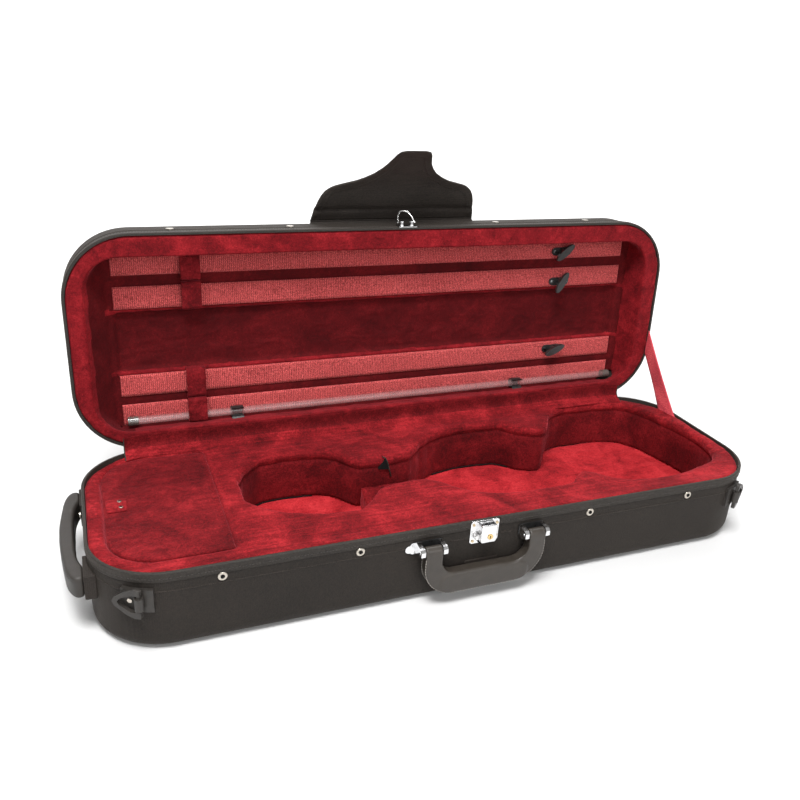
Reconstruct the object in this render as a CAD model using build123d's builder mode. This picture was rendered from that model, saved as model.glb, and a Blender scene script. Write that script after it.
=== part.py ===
from build123d import *
import os
from math import sin, cos, radians

# Oblong violin case, shown open.  Millimetres, +X along the length (bow-tip side
# of the lid at -X), +Y towards the hinge side, +Z up.  The origin is the centre
# of the underside that the case lies on.  Lid pieces are drawn in the closed
# case's own coordinates and turned about the hinge pins by OPEN degrees.

# ---- driving dimensions ----
L = 790.0            # overall length at the rim
W = 253.0            # overall width at the rim
R_PLAN = 75.0        # plan radius of the four corners
H_BASE = 90.0        # height of the parting line
H_LID = 56.0         # depth of the lid
OPEN = 93.3          # lid angle from closed, where the stay strap stops it
SKIN = 1.2           # how far the rim bindings stand proud of the shell
RIM_T = 3.2          # thickness of the rim bindings
WALL = 6.0           # shell wall
FLOOR = 6.0          # shell floor
EDGE_R = 14.0        # rounding of the bottom outer edge
LID_EDGE_R = 9.0     # rounding of the lid's top outer edge
GAP = 0.25           # half of the gap between the two rims
BAND_B = 9.0         # height of the base rim binding
BAND_L = 9.0         # height of the lid rim binding
PAD_T = 15.0         # velvet-covered floor pad
Z_FLOOR = FLOOR + PAD_T
Z_FOAM = 86.0        # top of the velvet-covered foam in the base
PIV_Y, PIV_Z = 127.0, 90.0   # hinge pin axis
PANEL_Z = 40.0       # depth of the lid's back panel below the lid rim
STRAP_T = 1.2        # webbing thickness
WEB_W = 26.5         # webbing width
LOCK_X = 4.0         # centre of lock and hasp
HASP_OPEN = 135.0    # hasp angle from hanging straight down
HASP_LEN = 17.0
FLAP_X = 5.0
FLAP_LEAN = 26.0     # how far the flap leans forward of square at rest
HAND_X, HAND_Y, HAND_Z = 61.0, -137.0, 69.0   # carrying handle pins
RING_Z = 61.0
COMP = (-375.5, -256.0, -98.0, 111.0)         # accessory compartment lid recess

os.makedirs("parts", exist_ok=True)
yw = W / 2 - SKIN
xw = L / 2 - SKIN
ca, sa = cos(radians(OPEN)), sin(radians(OPEN))


def lid_pt(x, y, z):
    """A point given in closed-case coordinates, where it is with the lid open."""
    dy, dz = y - PIV_Y, z - PIV_Z
    return Vector(x, PIV_Y + dy * ca + dz * sa, PIV_Z - dy * sa + dz * ca)


def lid_dir(x, y, z):
    return Vector(x, y * ca + z * sa, -y * sa + z * ca)


def lid_plane(x, y, z, normal=(0, 0, 1)):
    return Plane(origin=lid_pt(x, y, z), x_dir=(1, 0, 0), z_dir=lid_dir(*normal))


def depth(d):
    """Plane parallel to the lid rim, d inside it, seen in closed x and y."""
    return lid_plane(0, 0, H_BASE + d)


FRONT = Plane.XZ.offset(yw)                       # base front wall, normal -Y
BACK = Plane(origin=(0, yw, 0), x_dir=(-1, 0, 0), z_dir=(0, 1, 0))
LID_FRONT = lid_plane(0, -yw, H_BASE, (0, -1, 0))
LID_BACK = Plane(origin=lid_pt(0, yw, H_BASE), x_dir=(-1, 0, 0), z_dir=lid_dir(0, 1, 0))


def done(bp, name):
    bp.part.label = name
    export_step(bp.part, "parts/" + name + ".step")


# ================= base shell and binding =================
with BuildPart() as base_shell:
    with BuildSketch(Plane.XY):
        RectangleRounded(2 * xw, 2 * yw, R_PLAN - SKIN)
    extrude(amount=H_BASE - BAND_B)
    fillet(base_shell.faces().sort_by(Axis.Z)[0].edges(), EDGE_R)
    with BuildSketch(Plane.XY.offset(FLOOR)):
        RectangleRounded(2 * (xw - WALL), 2 * (yw - WALL), R_PLAN - SKIN - WALL)
    extrude(amount=H_BASE, mode=Mode.SUBTRACT)
done(base_shell, "base_shell")

HINGE_X = (-250.0, 0.0, 250.0)
with BuildPart() as base_rim_binding:
    with BuildSketch(Plane.XY.offset(H_BASE - BAND_B)):
        RectangleRounded(L, W, R_PLAN)
        RectangleRounded(L - 2 * RIM_T, W - 2 * RIM_T, R_PLAN - RIM_T, mode=Mode.SUBTRACT)
    extrude(amount=BAND_B - GAP)
    fillet(base_rim_binding.faces().sort_by(Axis.Z)[-1].outer_wire().edges(), 1.4)
    with BuildSketch(FRONT):
        with Locations((LOCK_X - 1, H_BASE - 4)):
            Rectangle(36, 12)
        with Locations((LOCK_X + 1, H_BASE - 1)):
            Rectangle(22, 6)
    extrude(amount=5, mode=Mode.SUBTRACT)
    with BuildSketch(BACK):
        for hx in HINGE_X:
            with Locations((-hx, H_BASE - 4)):
                Rectangle(41.2, 12)
    extrude(amount=5, mode=Mode.SUBTRACT)
    for hx in HINGE_X:
        with BuildSketch(Plane(origin=(hx - 20.6, PIV_Y, PIV_Z), x_dir=(0, 1, 0), z_dir=(1, 0, 0))) as _cut:
            Circle(3.2)
        extrude(_cut.sketch, amount=41.2, mode=Mode.SUBTRACT)
done(base_rim_binding, "base_rim_binding")

# ================= velvet-covered foam in the base =================
IN = 7.5    # outline of the foam, in from the rim's outline
LIP = 3.5   # outline of the velvet lip that covers the top of the wall
with BuildPart() as floor_pad:
    with BuildSketch(Plane.XY.offset(FLOOR)):
        RectangleRounded(L - 2 * IN, W - 2 * IN, R_PLAN - IN)
    extrude(amount=PAD_T)
done(floor_pad, "floor_pad")

X_PART = -250.0
cx = (COMP[0] + COMP[1]) / 2
cy = (COMP[2] + COMP[3]) / 2
with BuildPart() as compartment_surround:
    with BuildSketch(Plane.XY.offset(Z_FLOOR)):
        RectangleRounded(L - 2 * IN, W - 2 * IN, R_PLAN - IN)
        with Locations((X_PART + 400, 0)):
            Rectangle(800, 400, mode=Mode.SUBTRACT)
    extrude(amount=Z_FOAM - Z_FLOOR)
    with BuildSketch(Plane.XY.offset(Z_FLOOR)) as pocket:
        with BuildLine():
            Polyline((COMP[0] + 6, COMP[2] + 6), (COMP[1] - 6, COMP[2] + 6), (COMP[1] - 6, COMP[3] - 6), (COMP[0] + 6, COMP[3] - 6), close=True)
        make_face()
        fillet(pocket.vertices().group_by(Axis.X)[0], 44)
    extrude(amount=80, mode=Mode.SUBTRACT)
    with BuildSketch(Plane.XY.offset(H_BASE - BAND_B + 0.1)):      # velvet rolled over the wall's top
        RectangleRounded(L - 2 * LIP, W - 2 * LIP, R_PLAN - LIP)
        RectangleRounded(L - 2 * IN - 4, W - 2 * IN - 4, R_PLAN - IN - 2, mode=Mode.SUBTRACT)
        with Locations((X_PART + 400, 0)):
            Rectangle(800, 400, mode=Mode.SUBTRACT)
    extrude(amount=Z_FOAM - H_BASE + BAND_B - 0.1)
    with BuildSketch(Plane.XY.offset(78)) as recess:
        with BuildLine():
            Polyline((COMP[0], COMP[2]), (COMP[1], COMP[2]), (COMP[1], COMP[3]), (COMP[0], COMP[3]), close=True)
        make_face()
        fillet(recess.vertices().group_by(Axis.X)[0], 50)
    extrude(amount=20, mode=Mode.SUBTRACT)
done(compartment_surround, "compartment_surround")

with BuildPart() as compartment_lid:
    with BuildSketch(Plane.XY.offset(78.2)) as cl:
        with BuildLine():
            Polyline((COMP[0] + 0.6, COMP[2] + 0.6), (COMP[1] - 0.4, COMP[2] + 0.6), (COMP[1] - 0.4, COMP[3] - 0.6), (COMP[0] + 0.6, COMP[3] - 0.6), close=True)
        make_face()
        fillet(cl.vertices().group_by(Axis.X)[0], 49.5)
    extrude(amount=Z_FOAM - 78.2)
done(compartment_lid, "compartment_lid")

with BuildPart() as compartment_pull_tab:
    with BuildSketch(Plane.XY.offset(Z_FOAM)):
        with Locations((-361.5, 9)):
            RectangleRounded(21, 26, 4)
    extrude(amount=1.2)
done(compartment_pull_tab, "compartment_pull_tab")

with BuildPart() as compartment_tab_rivets:
    with BuildSketch(Plane.XY.offset(Z_FOAM + 1.2)):
        with Locations((-358, 15), (-357, 3)):
            Circle(2.3)
    extrude(amount=0.9)
    fillet(compartment_tab_rivets.faces().group_by(Axis.Z)[-1].edges(), 0.6)
done(compartment_tab_rivets, "compartment_tab_rivets")

# outline of the wells: scroll pocket, neck channel and body well
WELL = [(-231, -12), (-216, -31), (-195, -47), (-153, -61), (-114, -63), (-99, -49), (-81, -27),
        (-66, -22), (-36, -18), (-21, -20), (-8, -29), (4, -45), (22, -62), (48, -73), (80, -77),
        (120, -78), (146, -75), (155, -68), (165, -58), (175, -54), (185, -60), (194, -71),
        (203, -80), (216, -87), (244, -92), (280, -93), (309, -88), (339, -80), (358, -73),
        (369, -62), (377, -45), (381, -20), (380, 5), (375, 30), (369, 56), (361, 82), (348, 100),
        (330, 109), (298, 113), (246, 113), (229, 108), (217, 99), (206, 84), (196, 68), (185, 59),
        (173, 60), (154, 69), (144, 82), (135, 92), (107, 95), (70, 94), (38, 87), (8, 68),
        (-15, 44), (-40, 38), (-85, 38), (-92, 47), (-104, 65), (-117, 74), (-139, 79),
        (-169, 80), (-197, 77), (-221, 53), (-231, 33)]
Y_SPLIT = 9.5


def foam_half(sign):
    with BuildPart() as half:
        with BuildSketch(Plane.XY.offset(Z_FLOOR)):
            RectangleRounded(L - 2 * IN, W - 2 * IN, R_PLAN - IN)
            with Locations((X_PART - 200, 0)):
                Rectangle(400, 400, mode=Mode.SUBTRACT)
            with Locations((0, Y_SPLIT - sign * 150)):
                Rectangle(900, 300, mode=Mode.SUBTRACT)
            with BuildLine():
                Polyline(*WELL, close=True)
            make_face(mode=Mode.SUBTRACT)
        extrude(amount=Z_FOAM - Z_FLOOR)
        with BuildSketch(Plane.XY.offset(H_BASE - BAND_B + 0.1)):
            RectangleRounded(L - 2 * LIP, W - 2 * LIP, R_PLAN - LIP)
            RectangleRounded(L - 2 * IN - 4, W - 2 * IN - 4, R_PLAN - IN - 2, mode=Mode.SUBTRACT)
            with Locations((X_PART - 200, 0)):
                Rectangle(400, 400, mode=Mode.SUBTRACT)
            with Locations((0, Y_SPLIT - sign * 150)):
                Rectangle(900, 300, mode=Mode.SUBTRACT)
        extrude(amount=Z_FOAM - H_BASE + BAND_B - 0.1)
    return half


well_block_back = foam_half(1)
done(well_block_back, "well_block_back")
well_block_front = foam_half(-1)
done(well_block_front, "well_block_front")

# raised saddle that carries the violin's neck
with BuildPart() as neck_cradle:
    with BuildSketch(Plane(origin=(-80, 0, 0), x_dir=(0, 1, 0), z_dir=(1, 0, 0))) as nc:
        with BuildLine():
            Polyline((-17.5, Z_FLOOR), (37.5, Z_FLOOR), (37.5, 48), (30, 47), (22, 42), (10, 40), (-2, 42), (-10, 47), (-17.5, 48), close=True)
        make_face()
    extrude(amount=58)
done(neck_cradle, "neck_cradle")

# ================= lock on the base =================
with BuildPart() as lock_plate:
    with BuildSketch(FRONT) as lp:
        with Locations((LOCK_X - 1, 75.2)):
            RectangleRounded(34, 28, 3.5)
    extrude(amount=1.4)
    fillet(lock_plate.faces().sort_by(Axis.Y)[0].edges(), 0.5)
done(lock_plate, "lock_plate")

KEY = (LOCK_X + 2.5, 72.0)
with BuildPart() as lock_case:
    with BuildSketch(FRONT.offset(1.4)):
        with Locations((LOCK_X + 1, 75.5)):
            RectangleRounded(19, 22, 3)
    extrude(amount=7.3)
    fillet(lock_case.faces().sort_by(Axis.Y)[0].edges(), 1.2)
    with BuildSketch(Plane.XY.offset(78)):                       # mouth for the hasp
        with Locations((LOCK_X + 1, -(yw + 1.4 + 3.8))):
            Rectangle(16, 4.6)
    extrude(amount=20, mode=Mode.SUBTRACT)
    with BuildSketch(FRONT.offset(3.0)):                         # bore for the key plug
        with Locations(KEY):
            Circle(3.26)
    extrude(amount=10, mode=Mode.SUBTRACT)
    with BuildSketch(FRONT.offset(1.4)):                         # slot for the release slide
        with Locations((LOCK_X - 6.0, 71.5)):
            Rectangle(9.0, 5.8)
    extrude(amount=3.8, mode=Mode.SUBTRACT)
done(lock_case, "lock_case")

with BuildPart() as key_plug:
    with BuildSketch(FRONT.offset(3.4)):
        with Locations(KEY):
            Circle(3.2)
    extrude(amount=6.0)
    with BuildSketch(FRONT.offset(9.4)):                         # keyway
        with Locations(KEY):
            Rectangle(0.9, 3.6)
    extrude(amount=-3.0, mode=Mode.SUBTRACT)
done(key_plug, "key_plug")

with BuildPart() as lock_slide:
    with BuildSketch(FRONT.offset(1.8)):
        with Locations((LOCK_X - 10.2, 71.5)):
            Rectangle(7.6, 5.0)
    extrude(amount=3.0)
    with BuildSketch(FRONT.offset(4.8)):
        with Locations((LOCK_X - 12.4, 71.5)):
            RectangleRounded(3.0, 5.0, 0.8)
    extrude(amount=2.0)
done(lock_slide, "lock_slide")

with BuildPart() as lock_rivets:
    with BuildSketch(FRONT.offset(1.4)):
        with Locations((LOCK_X - 14.6, 65.0), (LOCK_X - 14.6, 85.0), (LOCK_X + 13.2, 69.0), (LOCK_X + 13.2, 84.0)):
            Circle(1.5)
    extrude(amount=0.8)
done(lock_rivets, "lock_rivets")

# ================= carrying handle =================
PIN_R = 1.6


def handle_bracket(side):
    x0 = side * HAND_X
    with BuildPart() as br:
        with BuildSketch(FRONT):
            with Locations((x0 - (3.0 if side < 0 else 0.0), 68.8)):
                RectangleRounded(31.0 + (6.0 if side < 0 else 0.0), 13.6, 3.0)
            if side < 0:
                with Locations((x0 - 19.0, 68.0)):
                    RectangleRounded(16, 9, 4.4)
        extrude(amount=1.6)
        for sx in (-1, 1):
            with BuildSketch(Plane(origin=(x0 + sx * 12.7 - 2.4, 0, 0), x_dir=(0, 1, 0), z_dir=(1, 0, 0))) as ear:
                with BuildLine():
                    Polyline((-yw - 1.6, 62.6), (-yw - 1.6, 75.4), (HAND_Y - 2, 74.0), (HAND_Y - 4.6, 71.5),
                             (HAND_Y - 4.6, 66.0), (HAND_Y - 2, 64.0), close=True)
                make_face()
            extrude(amount=4.8)
        with BuildSketch(Plane(origin=(x0 - 20, HAND_Y, HAND_Z), x_dir=(0, 1, 0), z_dir=(1, 0, 0))):
            Circle(PIN_R + 0.02)
        extrude(amount=40, mode=Mode.SUBTRACT)
    return br


handle_bracket_left = handle_bracket(-1)
done(handle_bracket_left, "handle_bracket_left")
handle_bracket_right = handle_bracket(1)
done(handle_bracket_right, "handle_bracket_right")

with BuildPart() as handle_pins:
    for side in (-1, 1):
        with BuildSketch(Plane(origin=(side * HAND_X - 15.6, HAND_Y, HAND_Z), x_dir=(0, 1, 0), z_dir=(1, 0, 0))):
            Circle(PIN_R)
        extrude(amount=31.2)
done(handle_pins, "handle_pins")

with BuildPart() as carry_handle:
    with BuildSketch(Plane.XZ.offset(-HAND_Y - 6)) as hs:
        with BuildLine():
            Polyline((-70.5, 75), (-51.7, 75), (-51.7, 41), (51.7, 41), (51.7, 75), (70.5, 75), (70.5, 15), (-70.5, 15), close=True)
        make_face()
        low = hs.vertices().group_by(Axis.Y)[0]
        fillet(low, 36)
        fillet(hs.vertices().filter_by_position(Axis.Y, 40.9, 41.1), 17)
    extrude(amount=12)
    fillet(carry_handle.edges().filter_by(Axis.X).group_by(Axis.Z)[-1], 5.7)
    with BuildSketch(Plane.XZ.offset(-HAND_Y - 7.5)) as bar:
        with Locations((0, 28)):
            RectangleRounded(104, 22, 10)
    extrude(amount=15)
    with BuildSketch(Plane(origin=(-80, HAND_Y, HAND_Z), x_dir=(0, 1, 0), z_dir=(1, 0, 0))):
        Circle(PIN_R + 0.06)
    extrude(amount=160, mode=Mode.SUBTRACT)
done(carry_handle, "carry_handle")

# hook-and-loop patch for the flap's tongue
with BuildPart() as closure_patch:
    with BuildSketch(FRONT):
        with Locations((3, 28)):
            RectangleRounded(40, 24, 2)
    extrude(amount=1.3)
done(closure_patch, "closure_patch")

# hollow eyelets along the front
with BuildPart() as base_eyelets:
    with BuildSketch(FRONT):
        with Locations((-275, 75.6), (-137, 75.6), (137, 75.6), (275, 75.6)):
            Circle(4.7)
    extrude(amount=1.4)
    fillet(base_eyelets.faces().filter_by(Plane.XZ).group_by(Axis.Y)[0].edges(), 0.7)
    with BuildSketch(FRONT.offset(0.4)):
        with Locations((-275, 75.6), (-137, 75.6), (137, 75.6), (275, 75.6)):
            Circle(2.2)
    extrude(amount=3, mode=Mode.SUBTRACT)
done(base_eyelets, "base_eyelets")

# ================= side handle on the left end =================
with BuildPart() as side_handle_grip:
    with BuildSketch(Plane.XY.offset(45)) as sh:
        with BuildLine():
            Spline((-398.2, -81), (-405, -82), (-411, -74), (-415.5, -52), (-418.5, -20), (-418.5, 20), (-415.5, 52), (-411, 74), (-405, 82), (-398.2, 81))
            Polyline((-398.2, 81), (-398.2, 60))
            Spline((-398.2, 60), (-402.5, 46), (-404.5, 20), (-404.5, -20), (-402.5, -46), (-398.2, -60))
            Polyline((-398.2, -60), (-398.2, -81))
        make_face()
    extrude(amount=24)
    fillet(side_handle_grip.faces().filter_by(Axis.Z).edges().filter_by(lambda e: e.length > 60), 3.0)
done(side_handle_grip, "side_handle_grip")

with BuildPart() as side_handle_tabs:
    with BuildSketch(Plane.XY.offset(43.5)):
        with Locations((-391.2, -66), (-391.2, 66)):
            Rectangle(14, 36)
    extrude(amount=27)
    with BuildSketch(Plane.XY.offset(40)):
        RectangleRounded(2 * xw, 2 * yw, R_PLAN - SKIN)
    extrude(amount=40, mode=Mode.SUBTRACT)
done(side_handle_tabs, "side_handle_tabs")

with BuildPart() as side_handle_rivets:
    with BuildSketch(Plane(origin=(-398.2, 0, 57), x_dir=(0, 1, 0), z_dir=(-1, 0, 0))):
        with Locations((-51.6, 0), (51.6, 0)):
            Circle(3.2)
    extrude(amount=1.3)
done(side_handle_rivets, "side_handle_rivets")


# ================= shoulder-strap rings on the front corners =================
def ring_frame(side):
    """Plane at the ring's pivot: x along the ring, y up, z outwards."""
    a = radians(-90 - 23.0)
    cxx, cyy = -(L / 2 - R_PLAN), -(W / 2 - R_PLAN)
    r = 81.6
    inward = radians(9.0)
    tx, ty = sin(a), -cos(a)
    ox, oy = cos(a), sin(a)
    dx = tx * cos(inward) - ox * sin(inward)
    dy = ty * cos(inward) - oy * sin(inward)
    p = (cxx + r * cos(a), cyy + r * sin(a))
    if side > 0:
        return Plane(origin=(-p[0], p[1], RING_Z), x_dir=(-dx, dy, 0), z_dir=(dy * -1, -dx, 0))
    return Plane(origin=(p[0], p[1], RING_Z), x_dir=(dx, dy, 0), z_dir=(dy * 1, -dx, 0))


def ring_plate(side):
    c = (side * (L / 2 - R_PLAN), -(W / 2 - R_PLAN))
    a0, a1 = (-127.0, -104.0) if side < 0 else (-76.0, -53.0)
    pv = ring_frame(side).origin
    with BuildPart() as rp:
        with BuildSketch(Plane.XY.offset(RING_Z - 12.5)) as sk:
            with BuildLine():
                arc_in = CenterArc(c, R_PLAN - SKIN, a0, a1 - a0)
                arc_out = CenterArc(c, 77.4, a0, a1 - a0)
                Line(arc_in @ 0, arc_out @ 0)
                Line(arc_in @ 1, arc_out @ 1)
            make_face()
        extrude(amount=25)
        with BuildSketch(Plane.XY.offset(RING_Z - 7)):
            with Locations((pv.X, pv.Y)):
                Circle(4.3)
        extrude(amount=14)
        with BuildSketch(Plane.XY.offset(RING_Z - 20)):
            with Locations((pv.X, pv.Y)):
                Circle(2.08)
        extrude(amount=40, mode=Mode.SUBTRACT)
    return rp


def strap_ring(side):
    pl = ring_frame(side)
    with BuildPart() as sr:
        with BuildSketch(pl.offset(-2)) as sk:
            with BuildLine():
                Polyline((-2, -15.5), (4, -16.5), (13, -13), (24, -5), (26.5, 0), (24, 5), (13, 13), (4, 16.5), (-2, 15.5), close=True)
            make_face()
            with BuildLine():
                Polyline((-6, -9.0), (8, -9.5), (19, -3.5), (21, 0), (19, 3.5), (8, 9.5), (-6, 9.0), close=True)
            make_face(mode=Mode.SUBTRACT)
        extrude(amount=4)
        with BuildSketch(Plane.XY.offset(RING_Z - 15)):
            with Locations((pl.origin.X, pl.origin.Y)):
                Circle(2.0)
        extrude(amount=30)
    return sr


ring_plate_left = ring_plate(-1)
done(ring_plate_left, "ring_plate_left")
ring_plate_right = ring_plate(1)
done(ring_plate_right, "ring_plate_right")
strap_ring_left = strap_ring(-1)
done(strap_ring_left, "strap_ring_left")
strap_ring_right = strap_ring(1)
done(strap_ring_right, "strap_ring_right")

with BuildPart() as ring_plate_rivets:
    for side in (-1, 1):
        c = (side * (L / 2 - R_PLAN), -(W / 2 - R_PLAN))
        a = radians(-90 + side * 30.5)
        with BuildSketch(Plane(origin=(c[0] + 77.45 * cos(a), c[1] + 77.45 * sin(a), RING_Z), z_dir=(cos(a), sin(a), 0), x_dir=(-sin(a), cos(a), 0))):
            Circle(2.4)
        extrude(amount=1.0)
done(ring_plate_rivets, "ring_plate_rivets")

# ================= hinges =================
KN_R = 2.5


def hinge_leaf(base):
    """Three butt-hinge leaves: plate on the back wall, knuckles round the pin."""
    pl = BACK if base else LID_BACK
    up = 1 if base else -1
    rim = H_BASE if base else 0.0
    spans = ((-20.0, -6.9), (6.9, 20.0)) if base else ((-6.6, 6.6),)
    with BuildPart() as leaf:
        for hx in HINGE_X:
            with BuildSketch(pl):
                with Locations((-hx, rim - up * 13.4)):
                    RectangleRounded(40, 20, 3)
                for s0, s1 in spans:
                    with Locations((-(hx + (s0 + s1) / 2), rim - up * 3.5)):
                        Rectangle(s1 - s0, 5.0)
            extrude(amount=1.2)
            for s0, s1 in spans:
                with BuildSketch(Plane(origin=(hx + s0, PIV_Y, PIV_Z), x_dir=(0, 1, 0), z_dir=(1, 0, 0))):
                    Circle(KN_R)
                extrude(amount=s1 - s0)
        with BuildSketch(Plane(origin=(-300, PIV_Y, PIV_Z), x_dir=(0, 1, 0), z_dir=(1, 0, 0))):
            Circle(1.05)
        extrude(amount=600, mode=Mode.SUBTRACT)
    return leaf


hinge_leaves_base = hinge_leaf(True)
done(hinge_leaves_base, "hinge_leaves_base")
hinge_leaves_lid = hinge_leaf(False)
done(hinge_leaves_lid, "hinge_leaves_lid")

with BuildPart() as hinge_pins:
    for hx in HINGE_X:
        with BuildSketch(Plane(origin=(hx - 20.4, PIV_Y, PIV_Z), x_dir=(0, 1, 0), z_dir=(1, 0, 0))):
            Circle(1.0)
        extrude(amount=40.8)
done(hinge_pins, "hinge_pins")

# stay strap between base and lid at the right end
with BuildPart() as stay_strap:
    with BuildSketch(Plane(origin=(386.0, 0, 0), x_dir=(0, 1, 0), z_dir=(1, 0, 0))):
        with BuildLine():
            Polyline((39, 86.4), (70, 86.4), (130.2, 150), (131.6, 185), close=True)
        make_face()
    extrude(amount=1.5)
done(stay_strap, "stay_strap")

# ================= lid =================
with BuildPart() as lid_shell:
    with BuildSketch(depth(BAND_L)):
        RectangleRounded(2 * xw, 2 * yw, R_PLAN - SKIN)
    extrude(amount=H_LID - BAND_L)
    top = lid_shell.faces().sort_by(Axis(lid_pt(0, 0, 90), lid_dir(0, 0, 1)))[-1]
    fillet(top.edges(), LID_EDGE_R)
    with BuildSketch(depth(BAND_L)):
        RectangleRounded(2 * (xw - WALL), 2 * (yw - WALL), R_PLAN - SKIN - WALL)
    extrude(amount=H_LID - BAND_L - WALL, mode=Mode.SUBTRACT)
done(lid_shell, "lid_shell")

with BuildPart() as lid_rim_binding:
    with BuildSketch(depth(GAP)):
        RectangleRounded(L, W, R_PLAN)
        RectangleRounded(L - 2 * RIM_T, W - 2 * RIM_T, R_PLAN - RIM_T, mode=Mode.SUBTRACT)
    extrude(amount=BAND_L - GAP)
    rim = lid_rim_binding.faces().sort_by(Axis(lid_pt(0, 0, 90), lid_dir(0, 0, 1)))[0]
    fillet(rim.outer_wire().edges(), 1.4)
    with BuildSketch(LID_FRONT):
        with Locations((LOCK_X + 1, 4)):
            Rectangle(27, 12)
    extrude(amount=5, mode=Mode.SUBTRACT)
    with BuildSketch(LID_BACK):
        for hx in HINGE_X:
            with Locations((-hx, 4)):
                Rectangle(41.2, 12)
    extrude(amount=5, mode=Mode.SUBTRACT)
    for hx in HINGE_X:
        with BuildSketch(Plane(origin=(hx - 20.6, PIV_Y, PIV_Z), x_dir=(0, 1, 0), z_dir=(1, 0, 0))) as _cut:
            Circle(3.2)
        extrude(_cut.sketch, amount=41.2, mode=Mode.SUBTRACT)
done(lid_rim_binding, "lid_rim_binding")

with BuildPart() as lid_back_panel:
    with BuildSketch(depth(PANEL_Z)):
        RectangleRounded(L - 2 * IN, W - 2 * IN, R_PLAN - IN)
    extrude(amount=H_LID - WALL - PANEL_Z)
    with BuildSketch(depth(PANEL_Z - 1)):                         # sunk middle between the two pairs of straps
        with Locations((5, 7.5)):
            Rectangle(692, 73)
    extrude(amount=8, mode=Mode.SUBTRACT)
done(lid_back_panel, "lid_back_panel")

# the hollow inside the padded lid walls, narrowing towards the panel
with BuildPart() as lid_hollow:
    with BuildSketch(depth(0.4)):
        with Locations((-3, 3)):
            RectangleRounded(744, 204, 42)
    with BuildSketch(depth(PANEL_Z + 0.1)):
        with Locations((6, 6)):
            RectangleRounded(708, 218, 9)
    loft()

with BuildPart() as lid_side_padding:
    with BuildSketch(depth(0.5)):
        RectangleRounded(L - 2 * IN, W - 2 * IN, R_PLAN - IN)
    extrude(amount=PANEL_Z - 0.5)
    with BuildSketch(depth(0.5)):                                 # velvet rolled over the wall's edge
        RectangleRounded(L - 2 * LIP, W - 2 * LIP, R_PLAN - LIP)
        RectangleRounded(L - 2 * IN - 4, W - 2 * IN - 4, R_PLAN - IN - 2, mode=Mode.SUBTRACT)
    extrude(amount=BAND_L - 0.6)
    add(lid_hollow.part, mode=Mode.SUBTRACT)
done(lid_side_padding, "lid_side_padding")

STRAP_Y = (-85.5, -46.0, 61.0, 98.0)
for i, sy in enumerate(STRAP_Y):
    with BuildPart() as bow_strap:
        with BuildSketch(depth(PANEL_Z - STRAP_T)):
            with Locations((5, sy)):
                Rectangle(692, WEB_W)
        extrude(amount=STRAP_T)
    done(bow_strap, "bow_strap_%d" % (i + 1))

HOLD_X = (-266.0, -243.0)
HOLD_Y = ((-96.0, -66.0), (-64.0, -31.0), (42.0, 78.5), (80.0, 111.0))
HOLD_D = (28.5, 28.5, 28.5, 25.8)
D_STRAP = PANEL_Z - STRAP_T
for i, (y0, y1) in enumerate(HOLD_Y):
    with BuildPart() as holder:
        with BuildSketch(Plane(origin=lid_pt(HOLD_X[0], 0, H_BASE), x_dir=lid_dir(0, 1, 0), z_dir=(1, 0, 0))) as hk:
            with BuildLine():
                Polyline((y0, D_STRAP), (y0, HOLD_D[i]), (y1, HOLD_D[i]), (y1, D_STRAP), close=True)
            make_face()
            fillet(hk.vertices().group_by(Axis.Y)[0], 3.0)
            with BuildLine():
                Polyline((y0 + 1.6, D_STRAP), (y0 + 1.6, HOLD_D[i] + 1.6), (y1 - 1.6, HOLD_D[i] + 1.6), (y1 - 1.6, D_STRAP), close=True)
            make_face(mode=Mode.SUBTRACT)
        extrude(amount=HOLD_X[1] - HOLD_X[0])
    done(holder, "bow_tip_holder_%d" % (i + 1))

# string tube in its clips
TUBE_Y, TUBE_D = 104.0, 32.6


def lid_x_plane(x, y, d):
    return Plane(origin=lid_pt(x, y, H_BASE + d), x_dir=lid_dir(0, 1, 0), z_dir=(1, 0, 0))


with BuildPart() as string_tube:
    with BuildSketch(lid_x_plane(-325, TUBE_Y, TUBE_D)):
        Circle(5.0)
        Circle(4.2, mode=Mode.SUBTRACT)
    extrude(amount=666)
done(string_tube, "string_tube")

with BuildPart() as string_tube_caps:
    for x0, x1 in ((-337, -325), (341, 352)):
        with BuildSketch(lid_x_plane(x0, TUBE_Y, TUBE_D)):
            Circle(5.5)
        extrude(amount=x1 - x0)
done(string_tube_caps, "string_tube_caps")

with BuildPart() as string_tube_clips:
    for x0 in (-213.5, 186.0):
        with BuildSketch(lid_x_plane(x0, TUBE_Y, TUBE_D)):
            Circle(6.15)
            Circle(5.06, mode=Mode.SUBTRACT)
            with Locations((0, -7)):
                Rectangle(7.4, 8, mode=Mode.SUBTRACT)
        extrude(amount=15)
done(string_tube_clips, "string_tube_clips")

# bow spinners
SPIN = ((251.5, -82.0, -40.0), (251.5, -40.0, -60.0), (251.5, 58.5, -24.0))
with BuildPart() as spinner_bases:
    for px, py, _ in SPIN:
        with BuildSketch(depth(D_STRAP)):
            with Locations((px, py)):
                SlotOverall(31, 11)
        extrude(amount=-2.2)
        with BuildSketch(depth(D_STRAP - 2.2)):
            with Locations((px, py)):
                Circle(4.4)
        extrude(amount=-6.6)
        with BuildSketch(depth(D_STRAP)):
            with Locations((px, py)):
                Circle(2.56)
        extrude(amount=-20, mode=Mode.SUBTRACT)
done(spinner_bases, "spinner_bases")

with BuildPart() as spinner_screws:
    for px, py, _ in SPIN:
        with BuildSketch(depth(D_STRAP - 2.2)):
            with Locations((px - 11.2, py), (px + 11.2, py)):
                Circle(2.3)
        extrude(amount=-1.2)
done(spinner_screws, "spinner_screws")

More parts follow.
